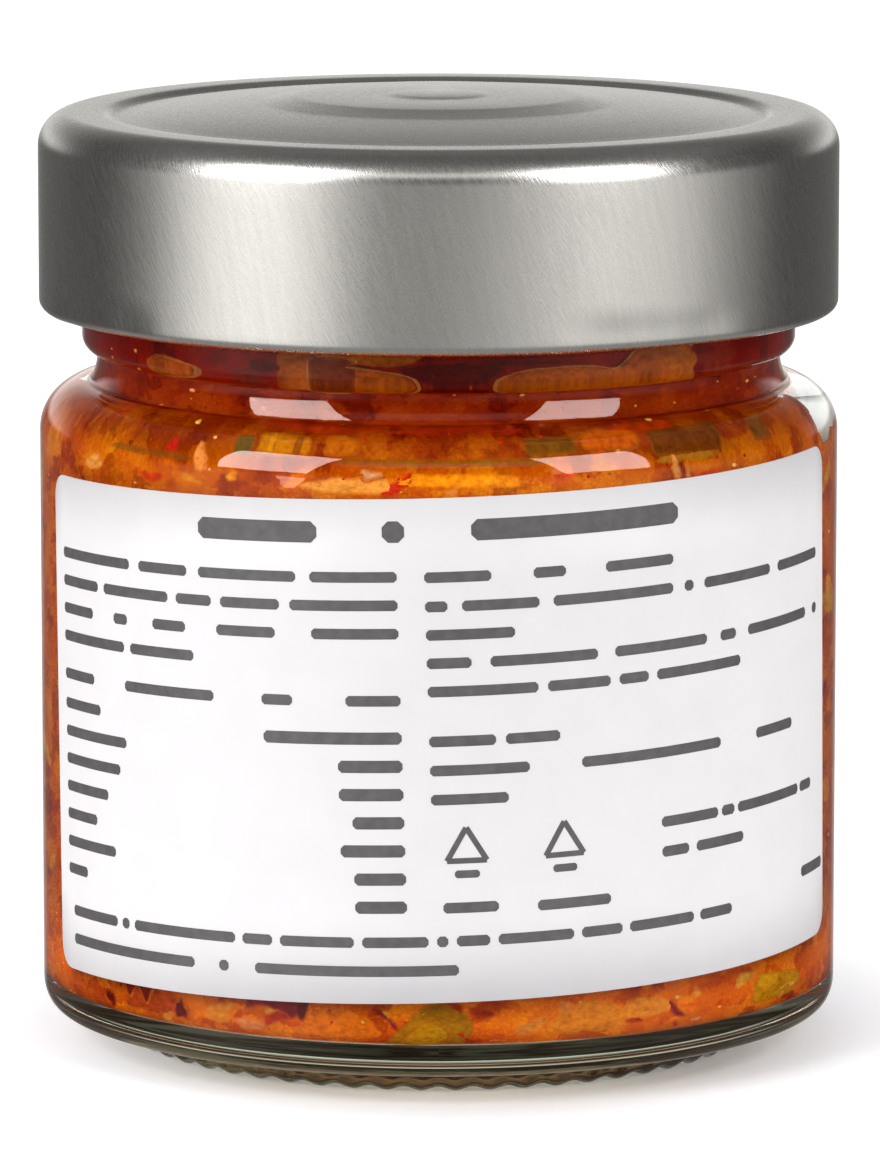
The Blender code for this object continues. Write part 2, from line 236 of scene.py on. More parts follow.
# %% [markdown]
# ## Small helpers for shapes
#
# Jar, lid and filling are all turned shapes: a profile of radii and heights swept round the axis. The
# helper builds the rings itself, because the foot of the jar is knurled and needs its rings rippled.

# %% Shape helpers
def arc(centre_r, centre_z, wide, high, start, end, count):
    """Points of an oval arc as (radius, height), its angles in degrees up from outwards."""
    angles = [math.radians(start + (end - start) * i / (count - 1)) for i in range(count)]
    return [(centre_r + wide * math.cos(a), centre_z + high * math.sin(a)) for a in angles]


def arc_mm(centre_r, centre_z, wide, high, start, end, count):
    """The same, with its centre and size in millimetres."""
    return arc(centre_r * MM, centre_z * MM, wide * MM, high * MM, start, end, count)


def points_mm(*points):
    return [(r * MM, z * MM) for r, z in points]


def turned_piece(name, profile, sides, ripple=None):
    """Sweep a profile that starts and ends on the axis into a smooth mesh."""
    shape = bmesh.new()
    rings = []
    for r, z in profile:
        if r == 0.0:
            rings.append([shape.verts.new((0.0, 0.0, z))])
            continue
        ring = []
        for i in range(sides):
            turn = 2.0 * math.pi * i / sides
            lift = ripple(turn, r, z) if ripple else 0.0
            ring.append(shape.verts.new((r * math.cos(turn), r * math.sin(turn), z + lift)))
        rings.append(ring)
    for upper, lower in zip(rings, rings[1:]):
        for i in range(sides):
            j = (i + 1) % sides
            corners = [ring[k % len(ring)] for ring, k in ((upper, i), (upper, j), (lower, j), (lower, i))]
            shape.faces.new([c for k, c in enumerate(corners) if c is not corners[k - 1]])
    bmesh.ops.recalc_face_normals(shape, faces=shape.faces)
    return piece_from(name, shape)


def close_band(shape, lower, upper):
    """Faces between two rings of points."""
    for i in range(len(lower)):
        j = (i + 1) % len(lower)
        shape.faces.new((lower[i], lower[j], upper[j], upper[i]))


def piece_from(name, shape):
    """A piece of the scene from a mesh in the making."""
    mesh = bpy.data.meshes.new(name)
    shape.to_mesh(mesh)
    shape.free()
    return add_piece(name, mesh)


def add_piece(name, mesh):
    mesh.shade_smooth()
    return placed(name, mesh)


def dress(piece, material, slot, *nodes):
    """Give a piece its material, seat it on the jar's one body and hide the solids it stands for."""
    piece.data.materials.append(material)
    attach(piece, "root")
    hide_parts(*nodes)
    print("%s: %d faces" % (piece.name, len(piece.data.polygons)))
    return piece


# %% [markdown]
# ## Floor and light
#
# The jar stands on a white floor whose own glow is painted light. It glows all round but not under the jar,
# and the dark oval round the foot is a painted shadow. The glow is a ramp over the distance from the jar.

# %% White floor
PAINTED_SHADOW_REACH = 64 * MM
GLOW_AND_PAINTED_SHADOW = ((0.3, (0.11, 0.13, 0.11)), (0.48, (0.12, 0.13, 0.13)), (0.68, (0.43, 0.46, 0.49)), (1.0, (0.8, 0.8, 0.8)))
FLOOR_HALF, FLOOR_FRONT, FLOOR_BACK = 6.0, -2.0, 10.0


def white_floor_material():
    material, tree, shader = new_material("white_floor")
    shader.inputs["Roughness"].default_value = 0.6
    shader.inputs["Emission Strength"].default_value = 1.0
    place, split = place_of(tree)
    grain = add(tree, "TexNoise", {"Scale": 3.0, "Detail": 3.0})
    join(tree, place, grain, "Object", "Vector")
    join(tree, ramp(tree, grain, [(0.3, (0.87,) * 3), (0.7, (0.89,) * 3)]), shader, into="Base Color")
    oval = {1: (1.18, 1.0, 1.0), 2: (-3 * MM, 2 * MM, 0.0)}
    shift = add(tree, "VectorMath", oval, operation="MULTIPLY_ADD")
    join(tree, place, shift, "Object")
    away = add(tree, "VectorMath", operation="LENGTH")
    join(tree, shift, away)
    # The ramp is dark in an oval round the jar's foot: a painted shadow in the floor's own glow.
    glow_and_painted_shadow = ramp(tree, scaled(tree, away, "Value", 1.0 / PAINTED_SHADOW_REACH), GLOW_AND_PAINTED_SHADOW)
    # The table's near end, from 6 to 10 cm before the jar, stops glowing.
    near_end = ramp(tree, scaled(tree, split, "Y", 5.0, 0.9), [(0.4, BLACK), (0.6, WHITE)])
    join(tree, multiplied(tree, glow_and_painted_shadow, near_end), shader, into="Emission Color")
    return material


floor_mesh = bpy.data.meshes.new("floor")
floor_corners = [(-1, FLOOR_FRONT), (1, FLOOR_FRONT), (1, FLOOR_BACK), (-1, FLOOR_BACK)]
floor_mesh.from_pydata([(side * FLOOR_HALF, y, 0.0) for side, y in floor_corners], [], [(0, 1, 2, 3)])
floor = add_piece("floor", floor_mesh)
floor_mesh.materials.append(white_floor_material())
floor.visible_glossy = False

# %% [markdown]
# Two tall softboxes stand to the front left and front right. Each has a twin a little nearer, the glint,
# that reaches only the glass and makes the small highlights on neck and shoulder. Two more lights at the
# sides reach only the paper, so that the label stays white where it curves away. A studio does the same
# with flags and cards.

# %% Softboxes
JAR_MIDDLE = Vector((0.0, 0.0, 60.0 * MM))


def softbox(name, azimuth, height, away, wide, high, power):
    """A rectangular light that faces the jar. Azimuth 0 is the camera's side, positive to the right."""
    light = bpy.data.lights.new(name, "AREA")
    light.shape = "RECTANGLE"
    light.size = wide
    light.size_y = high
    light.energy = power
    turn = math.radians(azimuth)
    holder = placed(name, light)
    holder.location = (away * math.sin(turn), -away * math.cos(turn), height)
    holder.rotation_euler = (JAR_MIDDLE - holder.location).to_track_quat("-Z", "Y").to_euler()
    return holder


def shine_only_on(piece, *lights):
    """Let some lights reach only one piece, as a flagged lamp in a studio does."""
    receivers = bpy.data.collections.new(lights[0].name + "_reaches")
    receivers.objects.link(piece)
    for light in lights:
        light.light_linking.receiver_collection = receivers
        light.visible_transmission = False


# For each: azimuth, height over the table, distance, width, height and power.
softbox("softbox_left", -51.0, 0.58, 1.1, 0.63, 0.8, 12.8)
softbox("softbox_right", 48.5, 0.58, 1.1, 0.6, 0.8, 9.2)
glint_left = softbox("glint_left", -51.0, 0.52, 0.97, 0.555, 0.7, 18.0)
glint_right = softbox("glint_right", 48.5, 0.52, 0.97, 0.53, 0.7, 16.0)
paper_left = softbox("paper_left", -84.0, 0.3, 1.1, 0.5, 0.5, 3.4)
paper_right = softbox("paper_right", 84.0, 0.3, 1.1, 0.5, 0.5, 3.6)

# %% [markdown]
# Satin metal is only as bright as what it mirrors. The lid's wall looks slightly down, at whatever
# lies round the table: bright where the softboxes stand, dark at the sides and dim in front. Its top
# looks at the backdrop, and its rounded edge at a strip of light over the camera. All of them are
# painted as a world light, in ramps over the direction round the jar and over the height.

# %% The room as the metal sees it
AROUND = (
    (0.0, 0.7), (0.05, 0.08), (0.2, 0.0), (0.25, 0.15), (0.31, 1.15), (0.39, 1.15), (0.44, 0.26), (0.5, 0.28),
    (0.56, 0.54), (0.63, 0.82), (0.7, 0.78), (0.75, 0.3), (0.81, 0.0), (0.95, 0.08), (1.0, 0.7),
)
BELOW_HORIZON = ((0.24, 0.0), (0.34, 1.0), (0.5, 1.0), (0.56, 0.0))
STRAIGHT_DOWN = ((0.2, 0.25), (0.32, 0.0))
BEHIND_JAR = ((0.82, 0.0), (0.93, 1.0))
BACKDROP_CLIMB = ((0.5, 0.0), (0.53, 1.0), (0.57, 0.88), (0.6, 0.57), (0.66, 0.2), (0.8, 0.1))
STRIP_AROUND = ((0.38, 0.0), (0.44, 1.0), (0.56, 1.0), (0.62, 0.0))
STRIP_HEIGHT = ((0.71, 0.0), (0.74, 1.1), (0.79, 1.1), (0.83, 0.0))
OVERHEAD = ((0.78, 0.0), (0.9, 0.13), (0.98, 0.06))
EVERYWHERE = (0.06, 0.06, 0.06)


def grey_ramp(tree, source, stops):
    """A ramp of greys, a touch warm."""
    return ramp(tree, source, [(place, (value, value, value * 0.985)) for place, value in stops])


def room_light():
    """Patches of light below the horizon, a bright low band of backdrop, a strip in front, and dim walls."""
    world = bpy.data.worlds.new("studio_room")
    bpy.context.scene.world = world
    world.cycles.sampling_method = "NONE"
    world.use_nodes = True
    tree = world.node_tree
    background = tree.nodes["Background"]
    background.inputs["Strength"].default_value = 1.0
    split = place_of(tree, "Generated")[1]
    around = scaled(tree, turn_from_front(tree, split), 0, 0.5 / math.pi, 0.5)
    height = scaled(tree, split, "Z", 0.5, 0.5)
    back = scaled(tree, split, "Y", 0.5, 0.5)
    lit = multiplied(tree, grey_ramp(tree, around, AROUND), grey_ramp(tree, height, BELOW_HORIZON))
    backdrop = multiplied(tree, grey_ramp(tree, back, BEHIND_JAR), grey_ramp(tree, height, BACKDROP_CLIMB))
    strip = multiplied(tree, grey_ramp(tree, around, STRIP_AROUND), grey_ramp(tree, height, STRIP_HEIGHT))
    under, overhead = grey_ramp(tree, height, STRAIGHT_DOWN), grey_ramp(tree, height, OVERHEAD)
    for more in (under, backdrop, strip, overhead, EVERYWHERE):
        lit = mixed(tree, 1.0, lit, more, "ADD")
    join(tree, lit, background, into="Color")


room_light()
bpy.context.scene.view_settings.view_transform = "Standard"

# %% [markdown]
# ## Glass
#
# The jar is one turned shell of thick clear glass: straight wall, soft shoulder, a groove and a bead
# under the lid, and a heel that steps in to a foot ring. The ring's underside is knurled, which shows as
# a scalloped edge against the table. The mesh ripples the ring's lowest points with a cosine.

# %% Jar profile
KNURLS = 58
KNURL_DEPTH = 0.35 * MM
SIDES_PER_KNURL = 8
RING_INNER, RING_OUTER, RING_ROUND = 24.6 * MM, 30.0 * MM, 1.3 * MM


def inner_profile():
    """The glass's inner surface from the middle of the floor up to the rim."""
    pull_in = INNER_RADIUS - BORE_RADIUS
    bottom = arc(INNER_RADIUS - FLOOR_ROUND, FLOOR + FLOOR_ROUND, FLOOR_ROUND, FLOOR_ROUND, -90, 0, 9)
    shoulder = arc(BORE_RADIUS, INNER_SHOULDER_LOW, pull_in, pull_in, 0, 90, 14)
    return [(0.0, FLOOR), (15 * MM, FLOOR)] + bottom + shoulder + [(BORE_RADIUS, RIM_TOP - 0.6 * MM)]


def outer_profile():
    """The glass's outer surface from the rim down to the middle of the base."""
    rim = [(29.5 * MM, RIM_TOP - 0.15 * MM), (30.2 * MM, RIM_TOP), (31.0 * MM, RIM_TOP - 0.2 * MM)]
    finish = [(31.3 * MM, RIM_TOP - 0.7 * MM), (31.3 * MM, 67.7 * MM)]
    bead = arc_mm(31.9, 66.6, 0.7, 0.7, 90, 0, 5)
    under_bead = arc_mm(31.2, 64.7, 1.4, 1.5, 0, -88, 10)
    flare = arc_mm(36.7, 63.1, 5.5, 5.5, 180, 208, 10)
    shoulder = arc_mm(32.0, 56.0, 4.5, 4.45, 88, 0, 22)
    heel = arc_mm(35.0, 5.15, 1.5, 2.4, 0, -90, 9)
    step = arc_mm(30.4, 1.95, 0.8, 0.8, 90, 180, 5)
    ring = arc_mm(28.3, 1.3, 1.3, 1.3, 0, -90, 8)
    inside = arc_mm(26.2, 1.2, 1.2, 1.2, 270, 180, 6)
    dome = points_mm((24.4, 1.8), (22.0, 2.1), (10.0, 2.2), (0.0, 2.2))
    return rim + finish + bead + under_bead + flare + shoulder + heel + step + ring + inside + dome


def knurl_ripple(turn, r, z):
    """How far the foot ring's underside is lifted between two knurls."""
    if z > RING_ROUND or r < RING_INNER or r > RING_OUTER:
        return 0.0
    return KNURL_DEPTH * (1.0 - z / RING_ROUND) * (0.5 - 0.5 * math.cos(KNURLS * turn))


# %% [markdown]
# Thick soda glass is faintly green and gathers colour towards the foot, so the tint is a ramp over the
# height. Its lowest stop, dark brown at the knurled foot, is painted shade under the jar and a painted
# reflection of the filling. Light that only casts a shadow passes through a plainer filter, or the shadow
# would be too dark.

# %% Clear glass
# The lowest stop, dark brown at the foot, is painted shade and a painted reflection of the filling.
GLASS_TINT_AND_PAINTED_SHADE = (
    (0.3, (0.33, 0.2, 0.09)), (0.46, (0.44, 0.48, 0.38)), (0.56, (0.88, 0.91, 0.87)), (0.64, (0.96, 0.975, 0.955)),
)
SHADOW_TINT = ((0.46, (0.4, 0.4, 0.4)), (0.6, (0.95, 0.97, 0.95)))


def clear_glass_material():
    material, tree, shader = new_material("clear_glass")
    shader.inputs["Roughness"].default_value = 0.015
    shader.inputs["IOR"].default_value = 1.5
    shader.inputs["Transmission Weight"].default_value = 1.0
    shader.inputs["Specular Tint"].default_value = (0.45, 0.37, 0.34, 1.0)
    place, split = place_of(tree)
    height_cm = scaled(tree, split, "Z", 100.0)
    join(tree, ramp(tree, height_cm, GLASS_TINT_AND_PAINTED_SHADE), shader, into="Base Color")
    waves = add(tree, "TexNoise", {"Scale": 70.0, "Detail": 1.2})
    join(tree, place, waves, "Object", "Vector")
    bumped(tree, shader, waves, 0.07, 0.0006)
    clear = add(tree, "BsdfTransparent")
    join(tree, ramp(tree, height_cm, SHADOW_TINT), clear, into="Color")
    choose = add(tree, "MixShader")
    join(tree, add(tree, "LightPath"), choose, "Is Shadow Ray", "Fac")
    join(tree, shader, choose, "BSDF", 1)
    join(tree, clear, choose, "BSDF", 2)
    join(tree, choose, tree.nodes["Material Output"], "Shader", "Surface")
    return material


glass = turned_piece("glass_jar", inner_profile() + outer_profile(), KNURLS * SIDES_PER_KNURL, knurl_ripple)
dress(glass, clear_glass_material(), "clear_glass", "jar")
shine_only_on(glass, glint_left, glint_right)
glint_left.visible_diffuse = glint_right.visible_diffuse = False

# %% [markdown]
# ## Lid
#
# A twist-off lid is pressed from thin lacquered tinplate: a tall skirt curled in at its lower edge, a
# rounded rim on top, and a sloping panel with a safety button. Four lugs grip the glass from within, so
# the skirt dips in a little over each of them. The profile gives the turned form, and its lowest points
# are then pulled in over the lugs.

# %% Lid shape
LUG_TURNS = (32.0, 122.0, -148.0, -58.0)
LUG_HALF, LUG_BLEND = 16.0, 9.0
LUG_REACH, LUG_TOP = 0.28 * MM, 71.2 * MM
LUG_FOOT = LID_LOW.z - MM


def lid_profile():
    """Outline of the lid's sheet, down its outside and up its inside."""
    button = points_mm((0.0, 86.55), (3.9, 86.55), (4.6, 86.42), (5.4, 86.42))
    slope = points_mm((12.7, 86.36), (13.1, 86.3), (15.9, 85.82), (16.4, 85.77))
    panel = points_mm((17.2, 85.74), (22.0, 85.4), (27.0, 84.88), (29.2, 84.56), (29.7, 84.56))
    step = points_mm((29.95, 84.66), (30.25, 84.92), (30.7, 84.99), (31.6, 85.0))
    edge = arc_mm(33.5, 82.0, 3.0, 3.0, 90, 0, 20)
    skirt = points_mm(*((36.5, z) for z in (80.0, 75.0, 71.4, 71.0, 70.5, 70.0, 69.5, 69.0, 68.5)))
    curl = arc_mm(35.55, 68.0, 0.95, 0.95, 0, -200, 16)
    wall = points_mm((36.0, 69.4), (36.0, 82.0))
    inner_edge = arc_mm(33.5, 82.0, 2.5, 2.5, 0, 90, 8)
    under = points_mm((30.5, 84.4), (29.6, 84.0), (16.4, 85.2), (12.7, 85.8), (0.0, 86.0))
    return button + slope + panel + step + edge + skirt + curl + wall + inner_edge + under


def pressed_lugs(lid):
    """Pull the skirt's lower edge in over each lug."""
    for point in lid.data.vertices:
        place = point.co
        if place.z > LUG_TOP or place.z < LUG_FOOT:
            continue
        turn = math.degrees(math.atan2(place.x, -place.y))
        away = min(abs((turn - lug + 180.0) % 360.0 - 180.0) for lug in LUG_TURNS)
        side = max(0.0, min(1.0, (LUG_HALF - away) / LUG_BLEND))
        side = side * side * (3.0 - 2.0 * side)
        share = min(1.0, (LUG_TOP - place.z) / (LUG_TOP - LID_LOW.z - MM))
        factor = 1.0 - side * share * share * (3.0 - 2.0 * share) * LUG_REACH / LID_RADIUS
        place.x *= factor
        place.y *= factor


# %% [markdown]
# The sheet was rolled and wiped, which leaves fine slanting scratches. One fine noise makes them in the
# bump and the roughness, and a broad one makes the metal a little paler or darker.

# %% Satin tinplate
def satin_tinplate_material():
    material, tree, shader = new_material("satin_tinplate")
    shader.inputs["Metallic"].default_value = 1.0
    wall = wall_coordinates(tree, LID_RADIUS)
    fine = wall_noise(tree, wall, (6500.0, 600.0, 3000.0), -33.0, Detail=3.0, Roughness=0.65)
    broad = wall_noise(tree, wall, (1800.0, 120.0, 900.0), -12.0, Detail=3.0)
    tint = ramp(tree, broad, [(0.3, (0.62, 0.6, 0.572)), (0.7, (0.67, 0.65, 0.622))])
    join(tree, tint, shader, into="Base Color")
    matt = add(tree, "MapRange", {"From Min": 0.3, "From Max": 0.7, "To Min": 0.24, "To Max": 0.31})
    join(tree, fine, matt, "Fac", "Value")
    join(tree, matt, shader, "Result", "Roughness")
    bumped(tree, shader, fine, 0.2, 0.00006)
    return material


lid = turned_piece("metal_lid", lid_profile(), 360)
pressed_lugs(lid)
dress(lid, satin_tinplate_material(), "brushed_tinplate", "lid")

# %% [markdown]
# ## Label
#
# The label is a rectangle of white paper with rounded corners. It was stuck on by hand and rises a
# little to the right. The flat sheet is laid out as a grid first, then turned by its tilt and wrapped
# round the glass, so that anything printed on it can use the same flat coordinates.

# %% Wrap the label
LABEL_WIDTH = 90.4 * MM
LABEL_HEIGHT = 45.0 * MM
LABEL_ROUND = 2.2 * MM
LABEL_MIDDLE = 32.25 * MM
LABEL_ASIDE = 0.6 * MM
LABEL_TILT = math.radians(1.72)
PAPER_UNDER = 0.03 * MM
PAPER_THICK = 0.1 * MM
LABEL_ROWS, CORNER_COLUMNS, MIDDLE_COLUMNS = 6, 8, 120


def on_label(along, up, lift=0.0):
    """A point of the flat label, turned by its tilt and wrapped onto the glass."""
    radius = BODY_RADIUS + PAPER_UNDER
    across = along * math.cos(LABEL_TILT) - up * math.sin(LABEL_TILT)
    rise = along * math.sin(LABEL_TILT) + up * math.cos(LABEL_TILT)
    turn = (LABEL_ASIDE + across) / radius
    out = radius + lift
    return (out * math.sin(turn), -out * math.cos(turn), LABEL_MIDDLE + rise)


def label_half_height(along):
    past = max(0.0, abs(along) - (LABEL_WIDTH / 2 - LABEL_ROUND))
    return LABEL_HEIGHT / 2 - LABEL_ROUND + math.sqrt(max(0.0, LABEL_ROUND**2 - past**2))


def label_columns():
    """Where the grid has its columns: close together in the rounded corners, even between them."""
    straight = LABEL_WIDTH / 2 - LABEL_ROUND
    quarter = math.pi / 2 / CORNER_COLUMNS
    corner = [LABEL_WIDTH / 2 - LABEL_ROUND * (1 - math.cos(quarter * i)) for i in range(CORNER_COLUMNS)]
    middle = [straight - 2 * straight * i / MIDDLE_COLUMNS for i in range(MIDDLE_COLUMNS + 1)]
    return [-u for u in corner] + [-u for u in middle] + corner[::-1]


def rim_of(grid):
    """The outline of a grid of points, once round."""
    return [c[0] for c in grid] + grid[-1][1:] + [c[-1] for c in grid[-2::-1]] + grid[0][-2:0:-1]


def label_sheet(name):
    """A thin closed sheet of paper on the glass."""
    shape = bmesh.new()
    sides = []
    for lift in (0.0, PAPER_THICK):
        grid = []
        for along in label_columns():
            half = label_half_height(along)
            ups = [-half + 2 * half * k / LABEL_ROWS for k in range(LABEL_ROWS + 1)]
            grid.append([shape.verts.new(on_label(along, up, lift)) for up in ups])
        sides.append(grid)
    for grid in sides:
        for left, right in zip(grid, grid[1:]):
            for k in range(LABEL_ROWS):
                shape.faces.new((left[k], right[k], right[k + 1], left[k + 1]))
    close_band(shape, *(rim_of(grid) for grid in sides))
    bmesh.ops.recalc_face_normals(shape, faces=shape.faces)
    return piece_from(name, shape)


# %% White paper
def mottled_material(name, roughness, spots, detail, stops):
    """A finish for the label, a little uneven in its tint."""
    material, tree, shader = new_material(name)
    shader.inputs["Roughness"].default_value = roughness
    wall = wall_coordinates(tree, BODY_RADIUS)
    join(tree, ramp(tree, wall_noise(tree, wall, (spots,) * 3, Detail=detail), stops), shader, into="Base Color")
    return material, tree, shader, wall


def white_paper_material():
    whites = [(0.3, (0.6, 0.582, 0.595)), (0.7, (0.62, 0.602, 0.615))]
    material, tree, shader, wall = mottled_material("white_label_paper", 0.48, 260.0, 4.0, whites)
    bumped(tree, shader, wall_noise(tree, wall, (2600.0, 1500.0, 2000.0), Detail=3.0), 0.12, 0.00004)
    return material


paper = label_sheet("paper_label")
dress(paper, white_paper_material(), "label_paper", "label")
shine_only_on(paper, paper_left, paper_right)

# %% [markdown]
# ## Print
#
# No words are copied. Each printed word becomes a plain dark bar, so that the label keeps its layout: a
# title, a justified text on the left, a table with its values, notes on the right with two plain
# triangles, and two lines along the foot. A line is given by the letters in each of its words, and
# spaced out to its column.

# %% Bars for words
PRINT_LIFT = PAPER_THICK + 0.02 * MM
PRINT_THICK = 0.02 * MM
BAR_LENGTH = 1.5 * MM
print_shape = bmesh.new()


def ink_quad(corners):
    """A thin inked patch through four flat label points, in order."""
    under = [print_shape.verts.new(on_label(u, v, PRINT_LIFT - PRINT_THICK)) for u, v in corners]
    over = [print_shape.verts.new(on_label(u, v, PRINT_LIFT)) for u, v in corners]
    print_shape.faces.new(over)
    print_shape.faces.new(under[::-1])
    close_band(print_shape, under, over)


def word_bar(start, end, middle, high):
    """A bar with cut corners, laid in short lengths so that it follows the curve of the jar."""
    cut = 0.28 * high
    ends = (start + cut, end - cut)
    lengths = max(1, round((ends[1] - ends[0]) / BAR_LENGTH))
    low, top = middle - high / 2, middle + high / 2
    ink_quad([(start, low + cut), (ends[0], low), (ends[0], top), (start, top - cut)])
    for k in range(lengths):
        u0 = ends[0] + (ends[1] - ends[0]) * k / lengths
        u1 = ends[0] + (ends[1] - ends[0]) * (k + 1) / lengths
        ink_quad([(u0, low), (u1, low), (u1, top), (u0, top)])
    ink_quad([(ends[1], low), (end, low + cut), (end, top - cut), (ends[1], top)])


def text_line(start, end, middle, letters, high=0.95 * MM, justified=True):
    """Bars for one line; the gaps stretch to fill the column where the text is justified."""
    pitch = 1.03 * high
    gap = 0.9 * pitch
    if justified and len(letters) > 1:
        full = sum(letters) * pitch
        gap = (end - start - full) / (len(letters) - 1)
        if gap < 0.5 * pitch:
            pitch = (end - start) / (sum(letters) + 0.6 * (len(letters) - 1))
            gap = 0.6 * pitch
    u = start
    for count in letters:
        word_bar(u, u + count * pitch, middle, high)
        u += count * pitch + gap


# %% Lay out the label
LEFT_START, LEFT_END = -43.0 * MM, -3.8 * MM
RIGHT_START, RIGHT_END = -1.4 * MM, 43.2 * MM
LINE = 2.52 * MM
text_line(-22.6 * MM, 22.4 * MM, 19.6 * MM, (6, 1, 10), 1.9 * MM)
for row, letters in enumerate(((12, 6, 10, 8), (7, 9, 4, 6, 10), (6, 2, 4, 6, 8))):
    text_line(LEFT_START, LEFT_END, 15.6 * MM - row * LINE, letters)
text_line(LEFT_START, LEFT_END, 8.05 * MM, (11, 8), justified=False)
text_line(LEFT_START, LEFT_END, 4.6 * MM, (6, 11, 3, 5))
TABLE = ((7, 11), (11, 5), (10, 5), (8, 4), (6, 5), (9, 4), (4, 4))
for row, (name_letters, value_letters) in enumerate(TABLE):
    middle = 1.9 * MM - row * LINE
    text_line(LEFT_START, LEFT_END, middle, (name_letters,), justified=False)
    word_bar(LEFT_END - value_letters * 1.15 * MM, LEFT_END, middle - 0.25 * LINE, 1.1 * MM)
text_line(RIGHT_START, 21.8 * MM, 15.5 * MM, (6, 3, 7))
for row, letters in enumerate(((2, 7, 12, 1, 9, 8), (8,), (4, 10, 10, 2, 10, 1), (10, 6, 3, 10))):
    text_line(RIGHT_START, RIGHT_END, 12.9 * MM - row * LINE, letters, justified=row in (0, 2))
NOTES = (
    (-1.4, 43.2, 0.9, (6, 5), False),
    (-1.4, 37.6, -1.7, (9, 15, 6), True),
    (-1.4, 43.2, -4.3, (7,), False),
    (20.0, 41.6, -8.0, (8, 2, 12, 3), True),
    (20.0, 43.2, -10.7, (3, 6), False),
    (-0.6, 43.2, -14.0, (5,), False),
    (7.8, 43.2, -14.2, (7,), False),
)
for start, end, middle, letters, justified in NOTES:
    text_line(start * MM, end * MM, middle * MM, letters, justified=justified)
text_line(39.4 * MM, RIGHT_END, -15.9 * MM, (5,), 1.0 * MM, justified=False)
text_line(-42.0 * MM, 28.0 * MM, -17.0 * MM, (8, 1, 12, 3, 7, 6, 1, 3, 7, 4, 7, 4))
text_line(-42.0 * MM, 0.6 * MM, -19.6 * MM, (18, 1, 19))

# %% Two plain triangles
STROKE = 0.5 * MM


def triangle_mark(centre, middle, wide, high):
    """A plain triangle drawn with three straight strokes."""
    low = middle - high / 2
    tips = [(centre - wide / 2, low), (centre + wide / 2, low), (centre, middle + high / 2)]
    for i, (u0, v0) in enumerate(tips):
        u1, v1 = tips[(i + 1) % 3]
        length = math.hypot(u1 - u0, v1 - v0)
        du, dv = (u1 - u0) / length, (v1 - v0) / length
        for k in range(4):
            a, b = (0.1 + 0.2 * k) * length, (0.3 + 0.2 * k) * length
            line = [(u0 + du * t, v0 + dv * t) for t in (a, b)]
            ink_quad(line + [(u - dv * STROKE, v + du * STROKE) for u, v in line[::-1]])


for centre in (1.6 * MM, 10.4 * MM):
    triangle_mark(centre, -8.2 * MM, 4.4 * MM, 3.7 * MM)
    word_bar(centre - 1.1 * MM, centre + 1.1 * MM, -11.0 * MM, 0.7 * MM)


# %% Black ink
INK_GREYS = ((0.35, (0.075, 0.07, 0.072)), (0.7, (0.1, 0.094, 0.096)))
label_print = piece_from("label_print", print_shape)
label_print.data.shade_flat()
dress(label_print, mottled_material("black_ink", 0.5, 900.0, 3.0, INK_GREYS)[0], "label_paper", "label")

# %% [markdown]
# ## Kimchi
#
# The filling is a fine orange mash with chopped leaf, pepper, onion and chilli in it. It is pressed to
# the glass, so each piece shows as a patch against the wall. The mash is one turned body that reaches
# just into the glass, so that no gap of air shows, and the pieces are thin bodies set into it.

# %% Mash shape
INTO_GLASS = 0.04 * MM
SHOULDER_PULL = INNER_RADIUS - BORE_RADIUS
SHOULDER_LENGTH = SHOULDER_PULL * math.pi / 2
BOTTOM_BEND = FLOOR + FLOOR_ROUND


def wall_at(up):
    """Radius, height and outward normal of the glass's inner wall at a length measured up along it."""
    if up < BOTTOM_BEND:
        bend = (BOTTOM_BEND - up) / FLOOR_ROUND
        out, down = math.cos(bend), math.sin(bend)
        return INNER_RADIUS - FLOOR_ROUND * (1 - out), BOTTOM_BEND - FLOOR_ROUND * down, out, -down
    if up < INNER_SHOULDER_LOW:
        return INNER_RADIUS, up, 1.0, 0.0
    bend = (up - INNER_SHOULDER_LOW) / SHOULDER_PULL
    if bend < math.pi / 2:
        out, rise = math.cos(bend), math.sin(bend)
        return BORE_RADIUS + SHOULDER_PULL * out, INNER_SHOULDER_LOW + SHOULDER_PULL * rise, out, rise
    past = up - INNER_SHOULDER_LOW - SHOULDER_LENGTH
    return BORE_RADIUS, INNER_SHOULDER_LOW + SHOULDER_PULL + past, 1.0, 0.0


def mash_profile():
    reach = INTO_GLASS
    top = [(0.0, KIMCHI_TOP), (12 * MM, KIMCHI_TOP - 0.2 * MM), (24 * MM, KIMCHI_TOP - 0.6 * MM)]
    neck = [(BORE_RADIUS + reach, z * MM) for z in (74.8, 70, 66, 64, 62, 61, 60, 59.2)]
    shoulder = arc(BORE_RADIUS, INNER_SHOULDER_LOW, SHOULDER_PULL + reach, SHOULDER_PULL + reach, 90, 0, 24)
    body = [(INNER_RADIUS + reach, z * MM) for z in (53, 52, 51, 50, 44, 34, 24, 14)]
    bottom = arc(INNER_RADIUS - FLOOR_ROUND, BOTTOM_BEND, FLOOR_ROUND + reach, FLOOR_ROUND + reach, 0, -90, 10)
    return top + neck + shoulder + body + bottom + [(0.0, FLOOR - reach)]
